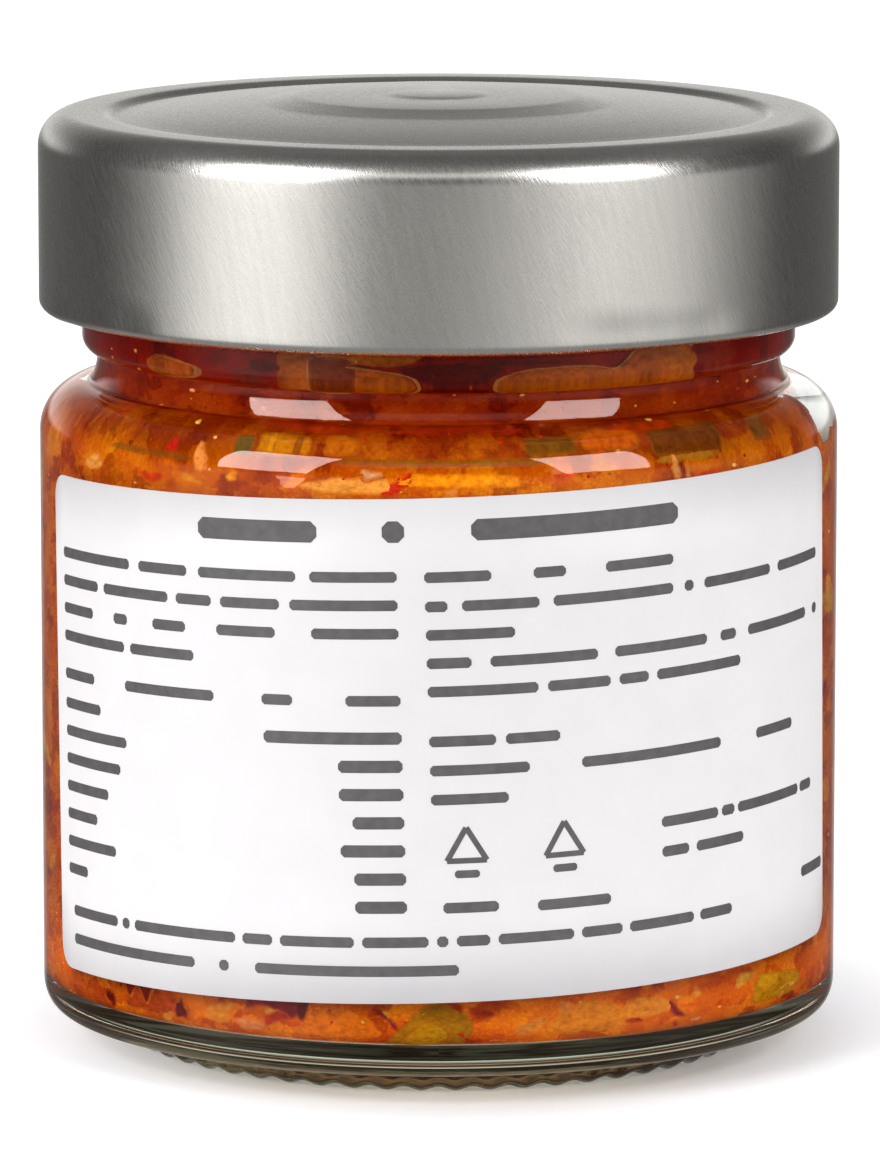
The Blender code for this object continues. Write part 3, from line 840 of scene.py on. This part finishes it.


# %% [markdown]
# The mash isn't one orange. It has soft patches, chopped bits and fine crumbs. A ramp over the height
# paints light and shade into it: lighter and darker bands, dark where the shoulder turns into the neck, and
# darkest up in the neck, partly from oil and partly painted shade under the lid. Under the filling one looks
# through the thick floor of the jar, so below a certain height the mash is painted the green of the glass,
# in dark and pale bands that also hold painted shade under the jar. The ramp gives the painted shade for
# each height in millimetres.

# %% Mash material
DUSK_FULL = 70.0
PAINTED_SHADE_BY_HEIGHT = (
    (9.0, (0.92, 0.7, 0.3)),
    (14.0, (0.6, 0.46, 0.2)),
    (50.0, (0.6, 0.44, 0.2)),
    (54.8, (0.68, 0.6, 0.2)),
    (56.0, (0.64, 0.56, 0.2)),
    (56.8, (0.46, 0.36, 0.2)),
    (57.9, (0.33, 0.19, 0.1)),
    (58.4, (0.21, 0.02, 0.1)),
    (59.6, (0.33, 0.12, 0.1)),
    (62.6, (0.35, 0.11, 0.1)),
    (63.6, (0.42, 0.08, 0.1)),
    (64.4, (0.34, 0.028, 0.05)),
)
MASH_TINTS = (
    (0.34, (0.2, 0.012, 0.0006)),
    (0.45, (0.5, 0.08, 0.001)),
    (0.53, (0.68, 0.16, 0.0014)),
    (0.66, (0.78, 0.27, 0.004)),
    (0.76, (0.84, 0.37, 0.025)),
)
CHUNK_TINTS = (
    (0.15, (0.26, 0.016, 0.0006)),
    (0.4, (0.62, 0.11, 0.0008)),
    (0.62, (0.76, 0.2, 0.002)),
    (0.85, (0.9, 0.34, 0.01)),
)
GLASS_BELOW = ((5.2 / DUSK_FULL, (0.94, 0.94, 0.94)), (5.45 / DUSK_FULL, BLACK))


def mash_colour(tree):
    """The mash's colour, and the pattern of its crumbs."""
    wall = wall_coordinates(tree, INNER_RADIUS)
    patches = wall_noise(tree, wall, (190.0, 240.0, 190.0), Detail=7.0, Roughness=0.66)
    warp = wall_noise(tree, wall, (900.0, 900.0, 900.0), Detail=4.0)
    bent = add(tree, "VectorMath", {1: (1.5, 1.5, 1.5)}, operation="MULTIPLY_ADD")
    join(tree, warp, bent, "Color", 0)
    join(tree, stretched(tree, wall, (430.0, 620.0, 300.0)), bent, 0, 2)
    cells = {"Scale": 1.0, "Randomness": 1.0}
    chunks = add(tree, "TexVoronoi", cells, feature="SMOOTH_F1")
    chunks.inputs["Smoothness"].default_value = 0.25
    join(tree, bent, chunks, 0, "Vector")
    chunky = mixed(tree, 0.55, ramp(tree, patches, MASH_TINTS), ramp(tree, chunks, CHUNK_TINTS, "Color"))
    crumbs = add(tree, "TexVoronoi", cells, feature="F1")
    join(tree, stretched(tree, wall, (2900.0, 3300.0, 2900.0)), crumbs, 0, "Vector")
    crumbly = multiplied(tree, chunky, ramp(tree, crumbs, [(0.0, WHITE), (0.6, (0.72, 0.6, 0.4))]), 0.75)
    height = scaled(tree, place_of(tree)[1], "Z", 1.0 / (DUSK_FULL * MM))
    # Painted shade by height: lighter and darker bands, dark at the neck's foot and under the lid.
    painted_shade = ramp(tree, height, [(z / DUSK_FULL, colour) for z, colour in PAINTED_SHADE_BY_HEIGHT])
    # Below the glass floor the mash is painted grey-green: the glass's green with painted shade under the jar.
    bands = wall_noise(tree, wall, (70.0, 300.0, 160.0), Detail=1.0)
    glass_green_and_painted_shade = ramp(tree, bands, [(0.42, (0.14, 0.12, 0.08)), (0.58, (0.58, 0.66, 0.55))])
    return mixed(tree, ramp(tree, height, GLASS_BELOW), multiplied(tree, crumbly, painted_shade), glass_green_and_painted_shade), crumbs


def mash_material():
    material, tree, shader = new_material("orange_mash")
    shader.inputs["Roughness"].default_value = 0.45
    shader.inputs["Specular IOR Level"].default_value = 0.0
    colour, crumbs = mash_colour(tree)
    join(tree, colour, shader, into="Base Color")
    bumped(tree, shader, crumbs, 0.7, 0.00014)
    return material


# %% [markdown]
# Where air is caught under the shoulder, the mash draws back from the glass and the glass shines pale.
# Each pocket has an angle, a length up the wall, half its size both ways, and a depth.

# %% Air pockets
AIR_POCKETS = ((88.0, 58.6, 16.0, 2.4, 0.9), (-94.0, 60.0, 8.0, 1.2, 0.5), (-21.9, 55.9, 1.9, 0.75, 0.5))
AIR_LIMIT = INNER_SHOULDER_LOW + SHOULDER_PULL + 0.1 * MM
AIR_RAGGED, AIR_GRAIN, AIR_STEEP = 0.9, 330.0, 2.2
NEAR_WALL = 20 * MM


def leave_air(mash):
    """Pull the mash back from the glass in each pocket, with a ragged edge."""
    for point in mash.data.vertices:
        place = point.co
        turn = math.degrees(math.atan2(place.x, -place.y))
        radius = math.hypot(place.x, place.y)
        if place.z > AIR_LIMIT:
            continue
        for middle, up, half_turn, half_up, depth in AIR_POCKETS:
            across = ((turn - middle + 180.0) % 360.0 - 180.0) / half_turn
            climb = (place.z - wall_at(up * MM)[1]) / (half_up * MM)
            near = 1.0 - across**2 - climb**2 + AIR_RAGGED * ragged(place * AIR_GRAIN)
            if near > 0.0 and radius > NEAR_WALL:
                factor = 1.0 - depth * MM * min(1.0, AIR_STEEP * near) / radius
                place.x *= factor
                place.y *= factor


mash = turned_piece("kimchi_mash", mash_profile(), 360)
leave_air(mash)
dress(mash, mash_material(), "kimchi_food", "kimchi")

# %% [markdown]
# ## Chopped pieces
#
# Each piece is cut as a flat outline in millimetres, pressed to the inside of the glass at an angle
# round the jar and a length up the wall, and made slightly pillowed. Every point carries the piece's own
# tint, and how near it is to the cut edge, because a leaf is paler and a pepper darker along its edge.

# %% Cut an outline
LAYER = 0.06 * MM
RIM_LIFT = 0.05 * MM
MIDDLE_LIFT = 0.1 * MM
INSETS = (0.16, 0.34)
EDGE_REACH = 0.5
GRID_STEP = 0.7
RIM_STEP = 0.28
fraying = random.Random(3)


def frayed(outline, fray):
    """A smooth curve through the outline's corners, with small random nicks."""
    count = len(outline)
    rim = []
    for i in range(count):
        before, here, after, beyond = (outline[(i + k) % count] for k in (-1, 0, 1, 2))
        steps = max(1, round(math.dist(here, after) / RIM_STEP))
        for k in range(steps):
            t = k / steps
            rim.append(
                tuple(
                    0.5 * (2 * q + (r - p) * t + (2 * p - 5 * q + 4 * r - w) * t**2 + (3 * q - p - 3 * r + w) * t**3)
                    + fraying.uniform(-fray, fray)
                    for p, q, r, w in zip(before, here, after, beyond)
                )
            )
    return rim


def depth_inside(rim, u, v):
    """Distance to the rim, negative outside."""
    inside = False
    nearest = 1e9
    for (au, av), (bu, bv) in zip(rim, rim[1:] + rim[:1]):
        du, dv = bu - au, bv - av
        t = max(0.0, min(1.0, ((u - au) * du + (v - av) * dv) / max(1e-9, du * du + dv * dv)))
        nearest = min(nearest, (au + t * du - u) ** 2 + (av + t * dv - v) ** 2)
        if (av > v) != (bv > v) and u < au + (v - av) / (bv - av) * du:
            inside = not inside
    return math.sqrt(nearest) * (1.0 if inside else -1.0)


def points_with_depth(rim):
    """The rim, two rows just inside it and a loose grid in the middle, each with its depth."""
    spots = []
    for before, (u, v), after in zip(rim[-1:] + rim[:-1], rim, rim[1:] + rim[:1]):
        du, dv = after[0] - before[0], after[1] - before[1]
        long = max(1e-6, math.hypot(du, dv))
        for inset in INSETS:
            for side in (1, -1):
                spots.append((u - side * inset * dv / long, v + side * inset * du / long, 0.8 * inset))
    low_u, high_u = min(u for u, v in rim), max(u for u, v in rim)
    low_v, high_v = min(v for u, v in rim), max(v for u, v in rim)
    for i in range(int((high_u - low_u) / GRID_STEP) + 1):
        for k in range(int((high_v - low_v) / GRID_STEP) + 1):
            spots.append((low_u + (i + 0.5 * (k % 2)) * GRID_STEP, low_v + k * GRID_STEP, EDGE_REACH))
    points, depths = list(rim), [0.0] * len(rim)
    for u, v, least in spots:
        depth = depth_inside(rim, u, v)
        if depth > least:
            points.append((u, v))
            depths.append(depth)
    return points, depths


# %% Press a piece to the glass
def new_heap():
    """A mesh in the making, with its tint and edge values."""
    shape = bmesh.new()
    return shape, shape.verts.layers.float_color.new("tint"), shape.verts.layers.float.new("edge")


def on_wall(heap, turn, up, point, lift, tint, edge):
    """A vertex on the inner wall. Angle in degrees from the front, lengths in millimetres."""
    shape, tints, edges = heap
    radius, z, out, rise = wall_at((up + point[1]) * MM)
    angle = math.radians(turn) + point[0] * MM / wall_at(up * MM)[0]
    reach = radius + lift * out
    vert = shape.verts.new((reach * math.sin(angle), -reach * math.cos(angle), z + lift * rise))
    vert[tints] = (*tint, 1.0)
    vert[edges] = edge
    return vert


def press(heap, turn, up, outline, tint, layer=0, thick=0.5, fray=0.05):
    """Set an outline into the mash, pillowed a little towards its middle."""

    def vertex(point, lift, edge=1.0):
        return on_wall(heap, turn, up, point, lift, tint, edge)

    rim = frayed(outline, fray)
    points, depths = points_with_depth(rim)
    outer = [list(range(len(rim)))]
    flat, _, faces, origins, _, _ = delaunay_2d_cdt([Vector(p) for p in points], [], outer, 1, 1e-4)
    top = []
    for place, origin in zip(flat, origins):
        share = min(1.0, (depths[origin[0]] if origin else 0.0) / EDGE_REACH)
        top.append(vertex(place, RIM_LIFT + (MIDDLE_LIFT - RIM_LIFT) * share + layer * LAYER, 1.0 - share))
    for face in faces:
        heap[0].faces.new([top[i] for i in face])
    wall = [vertex(point, RIM_LIFT + layer * LAYER) for point in rim]
    close_band(heap[0], [vertex(point, -thick * MM) for point in rim], wall)


def speck(heap, turn, up, outline, tint):
    """A fleck too small for a pillowed shape: a low cone with a cut-off rim."""
    rim = [on_wall(heap, turn, up, point, RIM_LIFT, tint, 0.6) for point in outline]
    foot = [on_wall(heap, turn, up, point, -0.1 * MM, tint, 1.0) for point in outline]
    tip = on_wall(heap, turn, up, (0.0, 0.0), MIDDLE_LIFT, tint, 0.0)
    for i in range(len(outline)):
        j = (i + 1) % len(outline)
        heap[0].faces.new((rim[i], rim[j], tip))
        heap[0].faces.new((foot[i], foot[j], rim[j], rim[i]))


# %% [markdown]
# A cut piece is something between an oval and a block, with an uneven edge. A table lists the pieces
# that the camera sees best, as they lie in the glass: angle, length up the wall, shape, tint and, where
# one lies over another, its layer. A shape is a drawn outline, or the seed and size of a block.

# %% Shapes of chopped pieces
def uneven(random_source, wide, high, points=18, roughness=0.12, square=2.0):
    """A closed outline between an oval (square 2) and a block (square 6), with a ragged edge."""
    outline = []
    phase = random_source.uniform(0, 6.28)
    for i in range(points):
        a = 2 * math.pi * i / points
        c, s = math.cos(a), math.sin(a)
        size = (abs(c) ** square + abs(s) ** square) ** (-1.0 / square)
        size *= 1 + roughness * (0.6 * math.sin(3 * a + phase) + random_source.uniform(-0.7, 0.7))
        outline.append((wide / 2 * size * c, high / 2 * size * s))
    return outline


def slanted(outline, degrees):
    a = math.radians(degrees)
    return [(u * math.cos(a) - v * math.sin(a), u * math.sin(a) + v * math.cos(a)) for u, v in outline]


def block(seed, wide, high, square=5.0, roughness=0.05):
    """A cut block or strip of a vegetable, nearly rectangular."""
    return uneven(random.Random(seed), wide, high, 22, roughness, square)


def ribbon(points, wide):
    """The outline of a narrow band along a line of points."""
    left, right = [], []
    for i, (u, v) in enumerate(points):
        (au, av), (bu, bv) = points[max(0, i - 1)], points[min(len(points) - 1, i + 1)]
        long = math.hypot(bu - au, bv - av)
        du, dv = (av - bv) / long * wide / 2, (bu - au) / long * wide / 2
        left.append((u + du, v + dv))
        right.append((u - du, v - dv))
    return left + right[::-1]


def press_all(heap, table):
    """Press the pieces of a table one after another."""
    for turn, up, shape, tint, *layer in table:
        press(heap, turn, up, block(*shape) if isinstance(shape, tuple) else shape, tint, *layer)


# %% [markdown]
# One finish serves every kind of piece: its own tint with veins and fibres, another tint along the cut
# edge, and a film of mash that covers some of it. How deep a piece is sunk decides how much is covered.

# %% Finish of a chopped piece
CLEAR, HALF_BURIED, BURIED = (0.0, 0.5), (0.0, 0.85), (0.1, 1.0)
FIBRE_SHADES = ((0.32, (0.62, 0.5, 0.4)), (0.52, WHITE), (0.7, (1.2, 1.3, 1.5)))


def chopped_material(name, edge_tint, edge_share, vein_scale, vein_depth, sunk):
    """The piece's own veined tint, another tint along the cut edge, and a film of mash over it."""
    material, tree, shader = new_material(name)
    shader.inputs["Roughness"].default_value = 0.4
    shader.inputs["Specular IOR Level"].default_value = 0.0
    own = add(tree, "Attribute", attribute_name="tint")
    edge = add(tree, "Attribute", attribute_name="edge")
    wall = wall_coordinates(tree, INNER_RADIUS)
    veins = wall_noise(tree, wall, vein_scale, Detail=4.0, Distortion=0.6)
    shade = ramp(tree, veins, [(0.3, (1.0 - vein_depth,) * 3), (0.7, WHITE)])
    fibres = wall_noise(tree, wall, (1500.0, 2600.0, 1500.0), Detail=5.0, Roughness=0.7)
    veined = multiplied(tree, multiplied(tree, own.outputs["Color"], shade), ramp(tree, fibres, FIBRE_SHADES))
    near = ramp(tree, edge, [(0.45, BLACK), (0.85, (edge_share,) * 3)], "Fac")
    broken = ramp(tree, veins, [(0.42, (0.05, 0.05, 0.05)), (0.58, WHITE)])
    edged = mixed(tree, multiplied(tree, near, broken), veined, edge_tint)
    film = wall_noise(tree, wall, (480.0, 480.0, 480.0), Detail=6.0, Roughness=0.65)
    lower = add(tree, "Math", {1: 0.8}, operation="SUBTRACT")
    join(tree, edge, lower, "Fac")
    depth = scaled(tree, film, 0, 1.6, 0.0)
    join(tree, lower, depth, 0, 2)
    cover = ramp(tree, depth, [(place, (value,) * 3) for place, value in zip((0.35, 0.95), sunk)])
    join(tree, mixed(tree, cover, edged, mash_colour(tree)[0]), shader, into="Base Color")
    return material


def finish_heap(name, heap, *finish):
    """Make one piece of a heap, and give it its finish."""
    bmesh.ops.recalc_face_normals(heap[0], faces=heap[0].faces)
    dress(piece_from(name, heap[0]), chopped_material(name, *finish), "kimchi_food", "kimchi")


# %% [markdown]
# In the neck, broad pieces of cabbage leaf lie flat against the glass, amber with oil. Along their upper
# edges runs a thin pale line, a painted highlight on the cut edge: a ribbon, one layer up.

# %% Cabbage leaf
# The pale ribbons along the leaves' upper edges are painted highlights.
HIGHLIGHT_TINT = (0.6, 0.24, 0.045)
AMBER = (0.4, 0.07, 0.001)
PALE_AMBER = (0.46, 0.1, 0.002)
HIGHLIGHT_RIBBONS = (
    (25.5, 66.9, 0.13, [
        (-8.8, -0.4), (-7.4, 0.15), (-5.6, 0.62), (-3, 0.78), (-0.6, 0.82), (1.2, 0.66), (2.6, 0.42), (3.7, 1),
        (4.85, 1.9),
    ]),
    (25.5, 66.9, 0.14, [(8.3, 2), (9, 1.2), (9.6, 0.4)]),
    (-9.4, 66.7, 0.13, [(-3.2, 1.1), (-0.6, 0.85), (1.6, 0.55), (3, 0.1), (3.7, -0.4)]),
    (-18.2, 67, 0.13, [(-2.1, 1.3), (-2.1, 0.2), (-1.9, -0.9), (-1.2, -1.4), (0.2, -1.5), (1.6, -1.4)]),
    (-48, 66.8, 0.13, [(-3.4, 0.6), (-1, 0.5), (2.4, 0), (5.2, -0.6)]),
)
LEAVES = (
    (-18.2, 67, (1, 4, 3, 4.5), (0.19, 0.022, 0.0006), 1),
    (-24.5, 67.6, (2, 3.6, 2.6, 4), AMBER),
    (-9.4, 66.7, [
        (-3.6, -0.6), (-1.5, -0.7), (1, -0.7), (3.9, -0.5), (3, 0.1), (1.6, 0.6), (-0.6, 0.9), (-3.6, 1.2),
    ], AMBER),
    (-12, 68.7, [(-4.4, -0.4), (-1, -0.7), (2.4, -0.8), (4.4, -0.2), (4.6, 0.8), (-4.4, 0.8)], PALE_AMBER),
    (25.5, 66.9, [
        (-9.1, -0.6), (-7.5, 0.15), (-5.6, 0.6), (-3, 0.75), (-0.6, 0.8), (2.6, 0.4), (3.7, 1), (4.85, 2),
        (8.2, 2.1), (9, 1.2), (9.7, 0.4), (9.6, -0.4), (7, -0.8), (3, -0.85), (-1, -0.85), (-5, -0.85),
        (-8, -0.8),
    ], AMBER),
    (44, 67.5, [(-2.6, -0.9), (0.8, -0.8), (2.4, -0.2), (1.4, 0.8), (0.4, 1.4), (-2.4, 1.3)], PALE_AMBER),
    (-48, 66.8, [
        (-5, -0.2), (-2, -0.7), (3, -0.8), (5.6, -0.7), (2.6, 0), (-1, 0.6), (-3.4, 0.7),
    ], (0.42, 0.07, 0.003)),
)
leaf = new_heap()
for turn, up, wide, line in HIGHLIGHT_RIBBONS:
    press(leaf, turn, up, ribbon(line, wide), HIGHLIGHT_TINT, layer=2, thick=0.1, fray=0.02)
press_all(leaf, LEAVES)
finish_heap("cabbage_leaf", leaf, (0.52, 0.17, 0.02), 0.35, (300.0, 900.0, 300.0), 0.45, CLEAR)

# %% [markdown]
# The rest of the pieces are strewn, so that the back of the jar is as full as the front. At the back they
# lie anywhere on the wall. In front they keep clear of the label, in the strips above and below it. All
# strewn numbers come from one seeded source, so the jar is the same each time.

# %% Strewn shreds of cabbage and carrot
ALL_ROUND, AT_BACK, BEHIND_LABEL = (0, 360), (74, 286), (70, 290)
LOW_STRIP = (5.5, 9)
chopped = random.Random(7)


def within(*ranges):
    """One random number in each range."""
    return [chopped.uniform(low, high) for low, high in ranges]


def press_strewn(heap, turn, up, wide, high, tint, slant, *form):
    outline = uneven(chopped, wide, high, *form)
    press(heap, turn, up, slanted(outline, chopped.uniform(-slant, slant)), tint)


def strew(heap, count, at_back, tints, sizes, slant, *form, in_front=None):
    """Strew pieces of random tints and sizes at the back, or all round where a strip in front is given."""
    for _ in range(count):
        turn = chopped.uniform(*(ALL_ROUND if in_front else AT_BACK))
        if BEHIND_LABEL[0] < turn < BEHIND_LABEL[1]:
            up = chopped.uniform(*at_back)
        else:
            up = chopped.choice(within(LOW_STRIP, in_front))
        tint = within(*tints)
        press_strewn(heap, turn, up, *within(*sizes), tint, slant, *form)


shreds = new_heap()
for _ in range(70):
    turn, up, wide, high = within(AT_BACK, (8, 68), (2.5, 8), (1, 3.2))
    press_strewn(shreds, turn, up, wide, high, within((0.4, 0.6), (0.1, 0.2), (0.001, 0.008)), 50, 20, 0.16, 2.6)
finish_heap("cabbage_shreds", shreds, (0.7, 0.3, 0.03), 0.5, (300.0, 900.0, 300.0), 0.35, HALF_BURIED)

# %% [markdown]
# Olive and yellow blocks of pepper line the shoulder, and one broad piece lies at the foot. A strip in a
# darker tint on some of them is the pepper's skin. Two long, thin dark strips low on the shoulder are no
# pepper but painted shade: the dark line where the glass's refraction at the shoulder ends.

# %% Green and yellow pepper
PEPPERS = (
    (-24.4, 58, (3, 4.9, 1.6), (0.4, 0.12, 0.001)),
    (-22, 58, (45, 0.7, 1.5), (0.24, 0.05, 0.001), 1),
    (-26.4, 58, (46, 0.9, 1.5), (0.5, 0.17, 0.002), 1),
    (-15, 58.2, (4, 3.2, 1.5, 4), (0.34, 0.07, 0.001)),
    (27.5, 58.3, (5, 5.6, 1.7, 3, 0.1), (0.38, 0.06, 0.001)),
    (-31, 57.7, (6, 1.8, 1.5, 6), (0.1, 0.055, 0.008)),
    (17.3, 58.1, (7, 4.6, 1.25, 7, 0.03), (0.115, 0.036, 0.001)),
    (17.3, 58.65, (43, 4.5, 0.22, 5, 0.05), (0.05, 0.02, 0.003), 1),
    (41, 57.6, (8, 7.8, 1.75, 7, 0.03), (0.115, 0.024, 0.001)),
    (41, 58.35, (44, 7.6, 0.3, 5, 0.05), (0.04, 0.014, 0.003), 1),
    (40.6, 56.6, (9, 7, 0.5, 6, 0.05), (0.3, 0.12, 0.008)),
    (57.5, 57.4, (10, 2.6, 1.5, 4, 0.08), (0.16, 0.05, 0.006)),
    # This long thin strip, and the thin one at -48 degrees, are painted shade along the shoulder's refraction line.
    (1, 57.15, (11, 18.5, 0.5, 8, 0.02), (0.16, 0.05, 0.001)),
    (-48, 56.5, (12, 11, 0.4, 3, 0.1), (0.12, 0.04, 0.004)),
    (-1, 7, [
        (-4.2, -2.1), (-2.4, -2.3), (0.4, -2.3), (2.4, -2), (3.4, -0.8), (3.5, 0.6), (2.4, 1.9), (0.8, 2.3),
        (-0.9, 1.9), (-2.4, 0.4), (-3.6, -1),
    ], (0.31, 0.115, 0.0006)),
    (-1.6, 6.4, [(-2.6, -1.5), (0.4, -1.5), (1.8, -0.4), (1.2, 1), (0, 1.3), (-1.6, 0.2)], (0.38, 0.155, 0.001), 1),
    (60, 7.4, (13, 8, 2.8, 2.6, 0.1), (0.42, 0.17, 0.001)),
    (57.5, 8.2, (14, 3.4, 1.5, 2.4, 0.1), (0.52, 0.23, 0.003), 1),
)
pepper = new_heap()
press_all(pepper, PEPPERS)
strew(pepper, 34, (6, 68), ((0.22, 0.46), (0.1, 0.18), (0.001, 0.006)), ((2, 6), (1.4, 3.2)), 40, 18, 0.08, 4.0)
finish_heap("pepper", pepper, (0.12, 0.06, 0.006), 0.5, (250.0, 500.0, 250.0), 0.3, CLEAR)

# %% [markdown]
# Red pepper shows as dark bits under the lid and at the foot, and as scarlet ones in the bright band over
# the label. Under the lid, the bits' dark tints are partly painted shade.

# %% Red pepper
DARK_RED = (0.12, 0.005, 0.004)
WINE = (0.22, 0.01, 0.014)
SCARLET = (0.46, 0.03, 0.002)
REDS = (
    (-57.5, 6.5, (15, 1.8, 2, 2, 0.2), DARK_RED),
    (-47, 7.3, (16, 8, 2.6, 2.4, 0.2), (0.4, 0.045, 0.003)),
    (-41.5, 6.9, (17, 1.6, 2.2, 2, 0.25), DARK_RED, 1),
    (-49.5, 8, [(-2.4, 0.9), (-1.6, -0.9), (-0.6, 0.2), (0.6, -1.2), (1.4, 0.1), (2.2, 0.9)], (0.2, 0.01, 0.004), 1),
    (-25, 8.4, [(-2.8, -0.8), (-1.4, -0.2), (0.8, -0.5), (1.8, -1.1), (2.6, 0.2), (2.6, 1.1), (-2.2, 1)], WINE, 1),
    (-20.5, 8.4, [(-0.8, 0.8), (-0.2, -1.1), (0.4, -0.9), (0.9, 0.9)], DARK_RED, 1),
    (-7.8, 7.8, [(-1.6, 0.9), (-0.2, -0.2), (1, -1.2), (1.3, -0.9), (0.4, 0.4), (-0.9, 1.2)], WINE),
    (38, 7.2, [(-1.4, 0.9), (-0.6, -0.4), (0.8, -0.9), (1.2, -0.5), (0.1, 0.1), (-0.8, 1.1)], WINE),
    # Under the lid these tints hold painted shade as well as the pepper's own dark red.
    (-30.5, 67.5, (18, 3.4, 1.6, 2, 0.2), (0.09, 0.004, 0.003)),
    (-34, 67, (19, 3.6, 1, 2, 0.2), (0.14, 0.008, 0.003)),
    (1.8, 67.4, (20, 8.6, 1.9, 3, 0.12), (0.085, 0.002, 0.001)),
    (14, 68.1, (21, 9, 0.8, 3, 0.12), (0.11, 0.003, 0.001)),
    (54, 67.3, (22, 6, 1.4, 2, 0.2), (0.22, 0.012, 0.002)),
    (-47, 54.8, (23, 3.6, 1.3, 2, 0.25), SCARLET),
    (43, 55.1, (24, 4.4, 1.2, 2.2, 0.2), SCARLET),
    (18.2, 56.1, (25, 2.5, 1.4, 2, 0.3), (0.5, 0.05, 0.01)),
    (17.6, 56.4, (26, 1.4, 0.5, 2, 0.3), (0.62, 0.16, 0.08), 1),
    (-9, 55.6, [(-1.8, 0.2), (-0.9, -0.9), (0.6, -0.9), (1.9, -0.1), (0.9, -0.3), (-0.6, -0.4)], (0.42, 0.04, 0.003)),
    (33, 58.9, (27, 9, 0.9, 2.4, 0.15), (0.34, 0.025, 0.001)),
    (-20, 59.4, (28, 12, 0.7, 2.4, 0.15), (0.26, 0.014, 0.001)),
    (3, 59.5, (29, 12, 0.7, 2.4, 0.15), (0.24, 0.012, 0.001)),
)
red = new_heap()
press_all(red, REDS)
RED_TINTS = ((0.2, 0.52), (0.01, 0.045), (0.001, 0.006))
strew(red, 60, (7, 69), RED_TINTS, ((0.8, 3.6), (0.5, 1.5)), 70, 14, 0.25, in_front=(53, 62))
finish_heap("red_pepper", red, (0.38, 0.03, 0.004), 0.25, (600.0,) * 3, 0.45, HALF_BURIED)

# %% [markdown]
# Onion takes up the red of the chilli and turns peach. Its pieces are the palest ones in the jar, half
# drowned in the mash.

# %% Onion
PEACH = (0.58, 0.165, 0.008)
ONIONS = (
    (9, 5.5, (30, 1.9, 0.5, 2, 0.15), (0.62, 0.38, 0.12)),
    (41.8, 6, (31, 1.4, 0.6, 2, 0.2), (0.66, 0.5, 0.3), 1),
    (-29, 6.5, (32, 3.4, 1.4, 2, 0.15), (0.56, 0.16, 0.05)),
    (-34.5, 7.1, (33, 2.6, 2, 2.4, 0.15), PEACH),
    (-15.5, 6.9, (34, 7.6, 2.8, 2.4, 0.15), (0.64, 0.13, 0.002)),
    (23, 7.3, (35, 7.5, 3, 2.6, 0.15), PEACH),
    (32, 7.8, (36, 5, 2.2, 2.6, 0.15), (0.62, 0.19, 0.012)),
    (-31.8, 55.6, (37, 1.5, 1.1, 2, 0.15), (0.7, 0.24, 0.004)),
    (-13, 55.3, (38, 8.5, 1.6, 2.6, 0.15), (0.6, 0.22, 0.03)),
    (-10, 56.2, (39, 2.2, 0.9, 2, 0.3), (0.46, 0.22, 0.09), 1),
    (3, 55.8, (40, 11.5, 1.2, 4, 0.08), (0.66, 0.2, 0.002)),
    (37.5, 55.9, (41, 1, 2, 2.4, 0.2), (0.56, 0.22, 0.05)),
    (39.6, 55.6, (42, 0.8, 1.8, 2.4, 0.2), (0.5, 0.17, 0.03)),
)
onion = new_heap()
press_all(onion, ONIONS)
ONION_TINTS = ((0.5, 0.66), (0.15, 0.26), (0.004, 0.04))
strew(onion, 46, (7, 66), ONION_TINTS, ((0.8, 3.4), (0.5, 1.6)), 60, 14, 0.2, in_front=(53, 57))
finish_heap("onion", onion, (0.7, 0.24, 0.015), 0.6, (900.0,) * 3, 0.3, BURIED)

# %% [markdown]
# Last come the smallest: flecks of dried chilli, most of them red flesh and the others pale seeds.

# %% Chilli flecks
FLECKS, RED_SHARE = 700, 0.6
flecks = new_heap()
for _ in range(FLECKS):
    turn, up, size = within(ALL_ROUND, (4.5, 70), (0.12, 0.42))
    if chopped.random() < RED_SHARE:
        tint = (*within((0.2, 0.5), (0.008, 0.03)), 0.002)
    else:
        tint = (0.78, *within((0.3, 0.4), (0.02, 0.1)))
    speck(flecks, turn, up, uneven(chopped, size * chopped.uniform(1, 2), size, 7, 0.2), tint)
finish_heap("chilli_flecks", flecks, (0.4, 0.05, 0.004), 0.3, (900.0,) * 3, 0.3, CLEAR)
